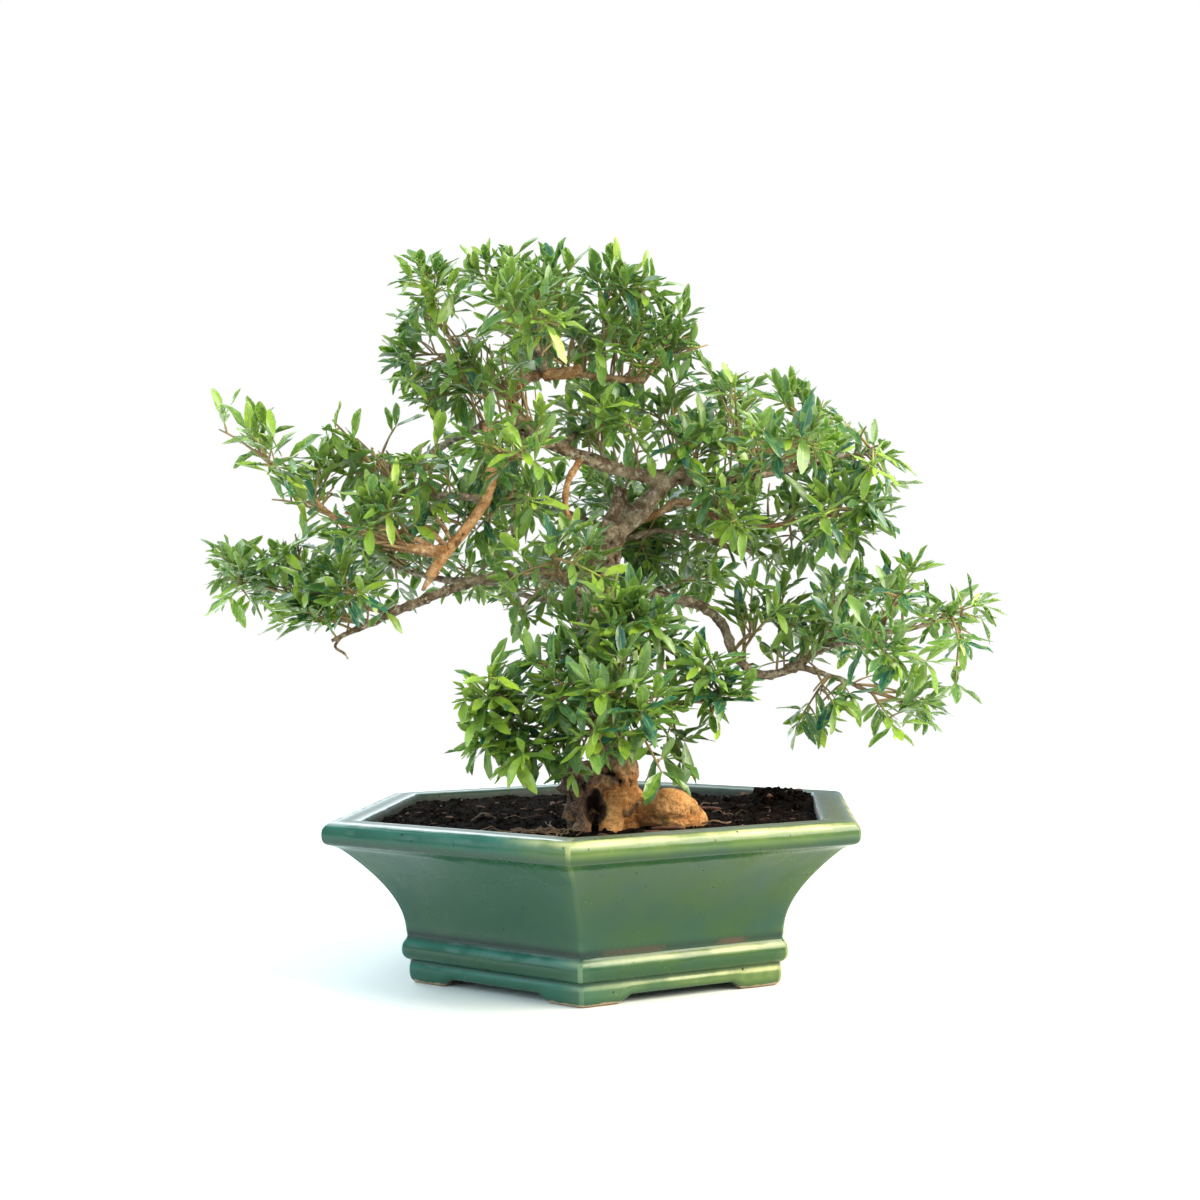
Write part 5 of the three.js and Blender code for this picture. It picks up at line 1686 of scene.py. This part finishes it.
class Leaves:
    """Leaves that wait to be shaped all at once."""

    LENGTH, WIDTH, THICKNESS = 18.5 * MM, 5.2 * MM, 0.45 * MM

    def __init__(self) -> None:
        """Start with none."""
        self.rows: list[Array] = []

    def add(self, base: Array, direction: Array, face: Array, form: tuple[float, ...]) -> None:
        """Add one leaf.

        Args:
            base: Where it leaves the shoot.
            direction: Where it points.
            face: The direction that its upper side faces.
            form: Its length, its slimness, arch, fold, twist, freshness and tone.
        """
        self.rows.append(np.concatenate([base, direction, face, form]))

    def shape(self, skin: Skin, slot: int) -> None:
        """Shape the leaves.

        Args:
            skin: The mesh to add them to.
            slot: Their material slot.
        """
        grid, half, faces = Blade().pattern()
        rows = np.array(self.rows)
        base, direction, face = (rows[:, None, k : k + 3] for k in (0, 3, 6))
        length, slim, arch, fold, twist, fresh, tone = (rows[:, k : k + 1] for k in range(9, 16))
        along, across, under = grid.T
        side = np.cross(direction, face)
        angle = (twist * along)[..., None]
        side, face = side * np.cos(angle) + face * np.sin(angle), face * np.cos(angle) - side * np.sin(angle)
        reach = 0.5 * length * self.WIDTH / self.LENGTH * slim * half * across
        lift = fold * np.abs(reach) - arch * length * along**2 - self.THICKNESS * under * half
        lift += 0.05 * length * np.sin(9 * along + 5 * tone) * np.abs(across) * half * (1 - under)
        points = base + direction * (length * along)[..., None]
        points = points + side * reach[..., None] + face * lift[..., None]
        count = len(rows)
        shift = (np.arange(count) * len(grid))[:, None, None]
        edge = 0.5 * (np.abs(across) == 1)
        blade = np.tile(np.column_stack([np.abs(across), along, np.maximum(under, edge)]), (count, 1))
        growth = np.stack(np.broadcast_arrays(fresh, tone, fresh * 0), axis=-1)
        growth = np.repeat(growth, len(grid), axis=1).reshape(-1, 3)
        blocks = [(block[None] + shift).reshape(-1, block.shape[1]) for block in faces]
        skin.add(points.reshape(-1, 3), blocks, slot, blade=blade, growth=growth)


class Growth:
    """One piece of foliage under way: its stems, its leaves and its own random draws."""

    def __init__(self, seed: int) -> None:
        """Start with nothing grown."""
        self.skin, self.leaves, self.draw = Skin(), Leaves(), np.random.default_rng(seed)

    def finish(self, name: str, materials: list[Material], *nodes: str) -> None:
        """Shape the leaves, make the object and hand it over.

        Args:
            name: The object's name.
            materials: Its finishes, with the leaves' own last.
            *nodes: The solid that it stands for.
        """
        self.leaves.shape(self.skin, len(materials) - 1)
        hand_over(self.skin.build(name, materials, math.radians(100)), "foliage", *nodes)


@dataclass(frozen=True)
class Foliage:
    """The young shoots and their leaves: one mesh for each spray."""

    lowest: Array
    highest: Array
    fullness: int = 10
    bare_twigs: int = 4
    inner_rise: float = 0.95
    outer_rise: float = 0.35
    light: float = 1.9
    uplift: float = 0.22
    long_span: float = 17 * MM
    margin: float = 1.5 * MM
    lowest_tip: float = 93 * MM
    lowest_base: float = 90 * MM

    def build(self, twig: TwigFinish, leaf: LeafFinish) -> None:
        """Make every spray, and the short shoots along the limbs.

        Args:
            twig: The finish of the shoots.
            leaf: The finish of the leaves.
        """
        materials = [twig.material(), leaf.material()]
        limbs = {name: Limb(rows) for name, rows in (THICK_LIMBS | THIN_LIMBS).items()}
        sprays = [
            Spray(pad, f"{pad}_{k}", *row) for pad, rows in PADS.items() for k, row in enumerate(rows, 1)
        ]
        for seed, spray in enumerate(sprays):
            growth = Growth(seed)
            shoots = self.main_shoots(spray, limbs[spray.limb], seed)
            for i, shoot in enumerate(shoots):
                self.dress_main(shoot, growth, seed, i)
            self.side_shoots(shoots, FULLNESS.get(spray.pad, self.fullness), growth)
            self.twigs(shoots, limbs[spray.limb], spray.at, growth)
            growth.finish(f"leaves_{spray.name}", materials, f"spray_{spray.name}")
        self.limb_shoots(limbs, materials)
        self.fill_shoots(limbs, materials)
        self.dry_leaves()

    def main_shoots(self, spray: Spray, limb: Limb, seed: int) -> list[Shoot]:
        """Lead the spray's own shoots to their tips: the first from the limb, the others from the first.

        Args:
            spray: The spray.
            limb: The limb that bears it.
            seed: The spray's number.

        Returns:
            The shoots.
        """
        tips = np.array(spray.tips) * MM
        base = limb.line(np.array([spray.at]))[0]
        start = base + unit(tips[0] - base) * 0.7 * limb.radius(spray.at)
        main = Shoot(start, tips[0], 3 * vary(seed, 1))
        others = enumerate(tips[1:])
        return [main, *(Shoot(main.point(0.3 + 0.15 * i), tip, 3 * vary(seed, i + 2)) for i, tip in others)]

    def twigs(self, shoots: list[Shoot], limb: Limb, at: float, growth: Growth) -> None:
        """Add bare twigs from the limb up among a spray's shoots.

        Args:
            shoots: The spray's shoots.
            limb: The limb that bears it.
            at: How far along the limb.
            growth: The piece that they grow in.
        """
        draw = growth.draw
        for _ in range(self.bare_twigs):
            share = float(np.clip(at + draw.uniform(-14, 14) * MM / limb.length(), 0.05, 1.0))
            start = limb.line(np.array([share]))[0]
            end = shoots[draw.integers(len(shoots))].point(draw.uniform(0.35, 0.95))
            end = end + draw.normal(0, 3.5, 3) * MM
            self.stem(Shoot(start, end, 0.0), growth.skin, draw.uniform(0.6, 0.95) * MM, 0.0)

    def dry_leaves(self) -> None:
        """Hang a few dry, curled leaves on the bare twigs."""
        finish = PlainFinish("dry_leaf", (0.22, 0.10, 0.045, 1), (0.62, 0.38, 0.20, 1), 4 * MM)
        growth = Growth(0)
        front = np.array([0.3, -1.0, 0.1])
        for name, span, slim in DRY_LEAVES:
            tip = np.array(BARE_TWIGS[name][-1][:3]) * MM
            direction = unit(np.array([0.02 * span - 0.6, -0.15, -0.95]))
            form = (span * MM, slim, 0.3, 0.9, 0.9, 0.0, 0.5)
            growth.leaves.add(tip, direction, square_to(front, direction), form)
        growth.finish("dry_leaves", [finish.material()])

    def thickets(self, limbs: dict[str, Limb], skin: Skin) -> None:
        """Stand bare twigs close together over the limbs.

        Args:
            limbs: The limbs by name.
            skin: The mesh to add them to.
        """
        draw = np.random.default_rng(53)
        for name, first, last, count, reach in THICKETS:
            for _ in range(count):
                start = limbs[name].line(np.array([draw.uniform(first, last)]))[0]
                end = start + (np.array(reach) * draw.uniform(0.6, 1.15) + draw.normal(0, 5, 3)) * MM
                twig = Shoot(start, end, 0.0)
                twig.middle = twig.middle + draw.normal(0, 4, 3) * MM
                self.stem(twig, skin, draw.uniform(0.5, 0.85) * MM, 0.0)

    def fill_shoots(self, limbs: dict[str, Limb], materials: list[Material]) -> None:
        """Grow the longer shoots that fill out the pads.

        Args:
            limbs: The limbs by name.
            materials: The finishes of the stems and the leaves.
        """
        growth = Growth(91)
        for limb, at, tip in FILLERS:
            start = limbs[limb].line(np.array([at]))[0]
            shoot = Shoot(start, np.array(tip) * MM, growth.draw.uniform(0, 6.3))
            self.stem(shoot, growth.skin, 0.8 * MM, 0.1)
            self.side_shoots([shoot], 5, growth)
            last = shoot.point(0.6)
            self.short_shoot(last, shoot.tip - last, growth)
        self.thickets(limbs, growth.skin)
        growth.finish("leaves_between", materials)

    def stem(self, shoot: Shoot, skin: Skin, radius: float, fresh: float) -> None:
        """Make a shoot's stem, brown at its start and as fresh as asked at its tip.

        Args:
            shoot: The shoot.
            skin: The mesh to add it to.
            radius: Its radius at the start.
            fresh: How fresh its tip is.
        """
        stops = np.linspace(0, 1, 7)
        swell = 1 + 0.25 * (np.arange(7) % 3 == 2)
        reach = np.outer(np.interp(stops, [0, 1], [radius, 0.5 * radius]) * swell, np.ones(5))
        points, faces = sweep(shoot.point(stops), reach)
        age = np.concatenate([np.repeat(stops * (0.25 + fresh), 5), [0, fresh]])
        tone = np.full_like(age, 0.5 + 0.5 * vary(shoot.span, 3))
        growth = np.column_stack([age, tone, np.zeros_like(age)])
        skin.add(points, faces, 0, blade=np.zeros(3), growth=growth)

    def leaf(
        self, shoot: Shoot, t: float, side: float, rise: float, leaves: Leaves, form: tuple[float, ...]
    ) -> bool:
        """Add one leaf if it stays within the tree's own reach.

        Args:
            shoot: The shoot that bears it.
            t: How far along the shoot.
            side: Its turn round the shoot, in quarters.
            rise: How far it leans towards the tip, in radians.
            leaves: Where it is gathered.
            form: Its length, slimness, arch, fold, twist, freshness and tone.

        Returns:
            True if the leaf was added.
        """
        along, across, beside = shoot.frame(t)
        angle = (side + 0.5) * math.pi / 2
        outward = across * math.cos(angle) + beside * math.sin(angle)
        direction = unit(outward * math.cos(rise) + along * math.sin(rise) + UP * self.uplift)
        face = square_to(along + UP * self.light, direction)
        base = shoot.point(t)
        end = base + form[0] * (1.02 * direction - form[2] * face)
        inside = (end > self.lowest + self.margin).all() and (end < self.highest - self.margin).all()
        clear = end[2] > self.lowest_tip and base[2] > self.lowest_base and not self.in_open_space(end)
        if inside and clear:
            leaves.add(base, direction, face, form)
        return inside and clear

    def in_open_space(self, spot: Array) -> bool:
        """Tell whether a place lies in one of the open spaces between the pads, seen from the front.

        Args:
            spot: The place.

        Returns:
            True if it lies in one.
        """
        nearer = VIEW_DISTANCE / (VIEW_DISTANCE + spot[1] / MM)
        across, height = spot[0] / MM * nearer, VIEW_HEIGHT + (spot[2] / MM - VIEW_HEIGHT) * nearer
        spaces = ((across - x, height - z, wide, high) for x, z, wide, high in OPEN_SPACES)
        return any((dx / wide) ** 2 + (dz / high) ** 2 < 1 for dx, dz, wide, high in spaces)

    def dress_main(self, shoot: Shoot, growth: Growth, seed: int, i: int) -> None:
        """Dress one of a spray's own shoots: pairs along it, a whorl of four, and a small fresh pair.

        Args:
            shoot: The shoot.
            growth: The piece that it grows in.
            seed: The spray's number.
            i: The shoot's number.
        """
        fresh = 0.35 + 0.35 * vary(seed, 20 + i)
        self.stem(shoot, growth.skin, 0.9 * MM, fresh)
        nodes = [(0.62, (seed % 2, seed % 2 + 2))] if i == 0 else []
        nodes.append((1.0, (0, 1, 2, 3)))
        for k, (t, sides) in enumerate(nodes):
            for side in sides:
                number = 10 * (10 * seed + i) + 4 * k + side
                rise = (self.inner_rise if side % 2 == 0 else self.outer_rise) + 0.2 * vary(number, 4)
                length = Leaves.LENGTH * (1 + 0.16 * vary(number, 3))
                turn = side + 0.25 * vary(number, 5) * 2 / math.pi
                self.leaf(shoot, t, turn, rise, growth.leaves, self.form(length, number, fresh))
        for t, first, size in ((0.38, 1, 0.85), (0.8, seed + 1, 0.9), (0.985, 0.5, 0.5)):
            for side in (first, first + 2):
                number = 1000 + 40 * seed + 7 * i + int(4 * side + 9 * t)
                rise = 1.25 if t > 0.9 else 0.5 + 0.3 * vary(number, 1)
                length = Leaves.LENGTH * size * (1 + 0.15 * vary(number, 2))
                form = self.form(length, number, fresh + 0.5 * (t > 0.9))
                self.leaf(shoot, t, side, rise, growth.leaves, form)

    def form(self, length: float, number: float, fresh: float) -> tuple[float, ...]:
        """Give a leaf's length, slimness, arch, fold, twist, freshness and tone.

        Args:
            length: Its length.
            number: Picks its other values.
            fresh: How fresh its shoot is.

        Returns:
            The seven values.
        """
        slim = 1.0 + 0.2 * vary(number, 11)
        arch = 0.15 + 0.15 * vary(number, 12)
        fold = 0.28 + 0.15 * vary(number, 13)
        ripe = min(max(fresh + 0.18 * vary(number, 15) - 0.1, 0.0), 1.0)
        return length, slim, arch, fold, 0.5 * vary(number, 14), ripe, 0.5 + 0.5 * vary(number, 16)

    def side_shoots(self, shoots: list[Shoot], count: int, growth: Growth) -> None:
        """Grow short shoots from a spray's own shoots, so that it fills out.

        Args:
            shoots: The spray's shoots.
            count: How many to grow.
            growth: The piece that they grow in.
        """
        draw = growth.draw
        spans = np.array([shoot.span for shoot in shoots])
        for k in range(count):
            host = shoots[draw.choice(len(shoots), p=spans / spans.sum())]
            t = 0.08 + 0.8 * draw.random() ** 1.15
            along, across, beside = host.frame(t)
            angle = 2.4 * k + draw.uniform(-0.4, 0.4)
            radial = across * math.cos(angle) + beside * math.sin(angle)
            start = host.point(t)
            outward = unit(start * (1, 1, 0))
            lift = draw.choice((0.45, 0.45, 0.5, -0.3))
            lean = (0.75 - 0.45 * t) * along + 0.9 * radial + lift * UP + 0.25 * outward
            length = draw.uniform(8, 21) * MM * (1.15 - 0.75 * t)
            self.short_shoot(start, unit(lean) * length, growth)

    def short_shoot(self, start: Array, span: Array, growth: Growth) -> None:
        """Grow one short shoot with a pair of leaves, a whorl, and often a small fresh pair.

        Args:
            start: Where it starts.
            span: The way from there to its tip.
            growth: The piece that it grows in.
        """
        draw = growth.draw
        shoot = Shoot(start, start + span, draw.uniform(0, 6.3))
        fresh = float(np.clip(draw.normal(0.12, 0.16) + 0.6 * (draw.random() < 0.13), 0, 0.9))
        vigour = draw.uniform(0.84, 1.18)
        grown, tried = Leaves(), 0
        nodes = [*SHORT_NODES]
        if shoot.span > self.long_span:
            nodes.append(LONG_NODE)
        if draw.random() < 0.45:
            nodes.append(FRESH_NODE)
        for t, first, rise, size in nodes:
            for side in (first, first + 2):
                number = draw.integers(1, 9999)
                length = Leaves.LENGTH * size * vigour * draw.uniform(0.85, 1.12)
                form = self.form(length, float(number), fresh + 0.3 * (size == FRESH_NODE[3]))
                tilt = rise + draw.normal(0, 0.16)
                self.leaf(shoot, t, side + draw.normal(0, 0.12), tilt, grown, form)
                tried += 1
        if len(grown.rows) > 0.6 * tried:
            growth.leaves.rows += grown.rows
            self.stem(shoot, growth.skin, 0.6 * MM, fresh)

    def limb_shoots(self, limbs: dict[str, Limb], materials: list[Material]) -> None:
        """Grow short shoots straight from the thin limbs, past their bare stretches.

        Args:
            limbs: The limbs by name.
            materials: The finishes of the stems and the leaves.
        """
        growth = Growth(77)
        draw = growth.draw
        for name in THIN_LIMBS:
            limb = limbs[name]
            bare = BARE_SHARES.get(name, BARE_SHARE)
            for t in np.arange(bare, 1.0, 9 * MM / limb.length()):
                start = limb.line(np.array([t]))[0]
                side = draw.normal(0, 1, 3)
                lean = unit(side) + 0.5 * UP + 0.3 * unit(start * (1, 1, 0))
                self.short_shoot(start, unit(lean) * draw.uniform(10, 24) * MM, growth)
        growth.finish("leaves_on_limbs", materials)


# The lamps: name, place and width in metres, power in watts, and tint
LAMPS = (
    ("key", (0.98, -0.45, 0.9), 1.1, 42, (1.0, 0.94, 0.76)),
    ("fill", (-1.0, -0.8, 0.8), 1.3, 12, (0.72, 0.93, 1.0)),
    ("behind", (-0.55, 0.95, 0.95), 1.6, 26, (0.85, 0.96, 1.0)),
)


@dataclass(frozen=True)
class Studio:
    """A plain pale floor, soft light and the camera."""

    eye: Place = (0.00083, -0.8804, 0.1814)
    pitch: float = -0.0232
    roll: float = 0.0139
    lens: float = 47.08
    floor_tone: Colour = (0.90, 0.91, 0.91, 1)
    floor_reach: float = 1.15
    sky_tone: Colour = (0.84, 0.95, 1, 1)
    sky: float = 0.56

    def build(self) -> None:
        """Set the stage."""
        self.place_camera()
        self.lay_floor()
        self.hang_lights()

    def place_camera(self) -> None:
        """Stand the camera where the portrait was taken, a little above the rim and looking slightly up."""
        forward = Vector((0, math.cos(self.pitch), -math.sin(self.pitch)))
        level = Vector((1, 0, 0))
        upright = level.cross(forward)
        right = level * math.cos(self.roll) - upright * math.sin(self.roll)
        up = level * math.sin(self.roll) + upright * math.cos(self.roll)
        camera = bpy.data.cameras.new("portrait")
        camera.lens, camera.sensor_width, camera.clip_start = self.lens, 36, 0.01
        holder = bpy.data.objects.new("portrait", camera)
        facing = Matrix((right, up, -forward)).transposed().to_4x4()
        holder.matrix_world = Matrix.Translation(self.eye) @ facing
        bpy.context.scene.collection.objects.link(holder)
        bpy.context.scene.camera = holder

    def lay_floor(self) -> None:
        """Lay the floor."""
        finish = PlainFinish("floor", self.floor_tone, self.floor_tone, 0.2, 0.9, 0.0)
        skin = Skin()
        turn = np.arange(96) * math.pi / 48
        edge = np.column_stack([np.cos(turn), np.sin(turn), np.zeros(96)]) * self.floor_reach
        fan = np.array([[k, (k + 1) % 96, 96] for k in range(96)])
        skin.add(np.vstack([edge, [(0, 0, 0)]]) - 0.0002 * UP, [fan])
        floor = skin.build("floor", [finish.material()])
        floor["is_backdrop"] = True

    def hang_lights(self) -> None:
        """Hang a bright sky and three soft lamps: a key at the right, a cool fill at the left, one behind."""
        world = bpy.data.worlds.new("sky")
        world.use_nodes = True
        world.node_tree.nodes.clear()
        bench = Bench(world.node_tree)
        seen = bench.add("ShaderNodeLightPath").outputs["Is Camera Ray"]
        tone = bench.blend(seen, self.sky_tone, (1, 1, 1, 1))
        glow = bench.add("ShaderNodeBackground", {0: tone, 1: bench.larger(seen, self.sky)})
        bench.add("ShaderNodeOutputWorld", {0: glow.outputs[0]})
        bpy.context.scene.world = world
        for lamp in LAMPS:
            self.lamp(*lamp)
        bpy.context.scene.view_settings.view_transform = "Standard"

    def lamp(self, name: str, place: Place, size: float, power: float, tint: tuple) -> None:
        """Hang one soft square lamp that points at the middle of the tree.

        Args:
            name: Its name.
            place: Where it hangs, in metres.
            size: Its width in metres.
            power: Its power in watts.
            tint: Its colour.
        """
        light = bpy.data.lights.new(name, "AREA")
        light.size, light.energy, light.color = size, power, tint
        holder = bpy.data.objects.new(name, light)
        holder.location = place
        aim = Vector((0, 0, 0.2)) - Vector(place)
        holder.rotation_euler = aim.to_track_quat("-Z", "Y").to_euler()
        bpy.context.scene.collection.objects.link(holder)


def corners(box: tuple[Vector, Vector]) -> list[list[float]]:
    """Turn a box into plain lists."""
    return [list(corner) for corner in box]


def main() -> None:
    """Make the bonsai, piece by piece, keeping its leaves within the solids' own box."""
    logging.basicConfig(level=logging.INFO, format="%(message)s")
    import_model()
    solid_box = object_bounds()
    Studio().build()
    HexagonPot().build(GlazeFinish())
    SoilBed().build(SoilFinish())
    Wood().build(BarkFinish())
    Foliage(np.array(solid_box[0]), np.array(solid_box[1])).build(TwigFinish(), LeafFinish())
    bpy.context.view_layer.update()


if __name__ == "__main__":
    main()
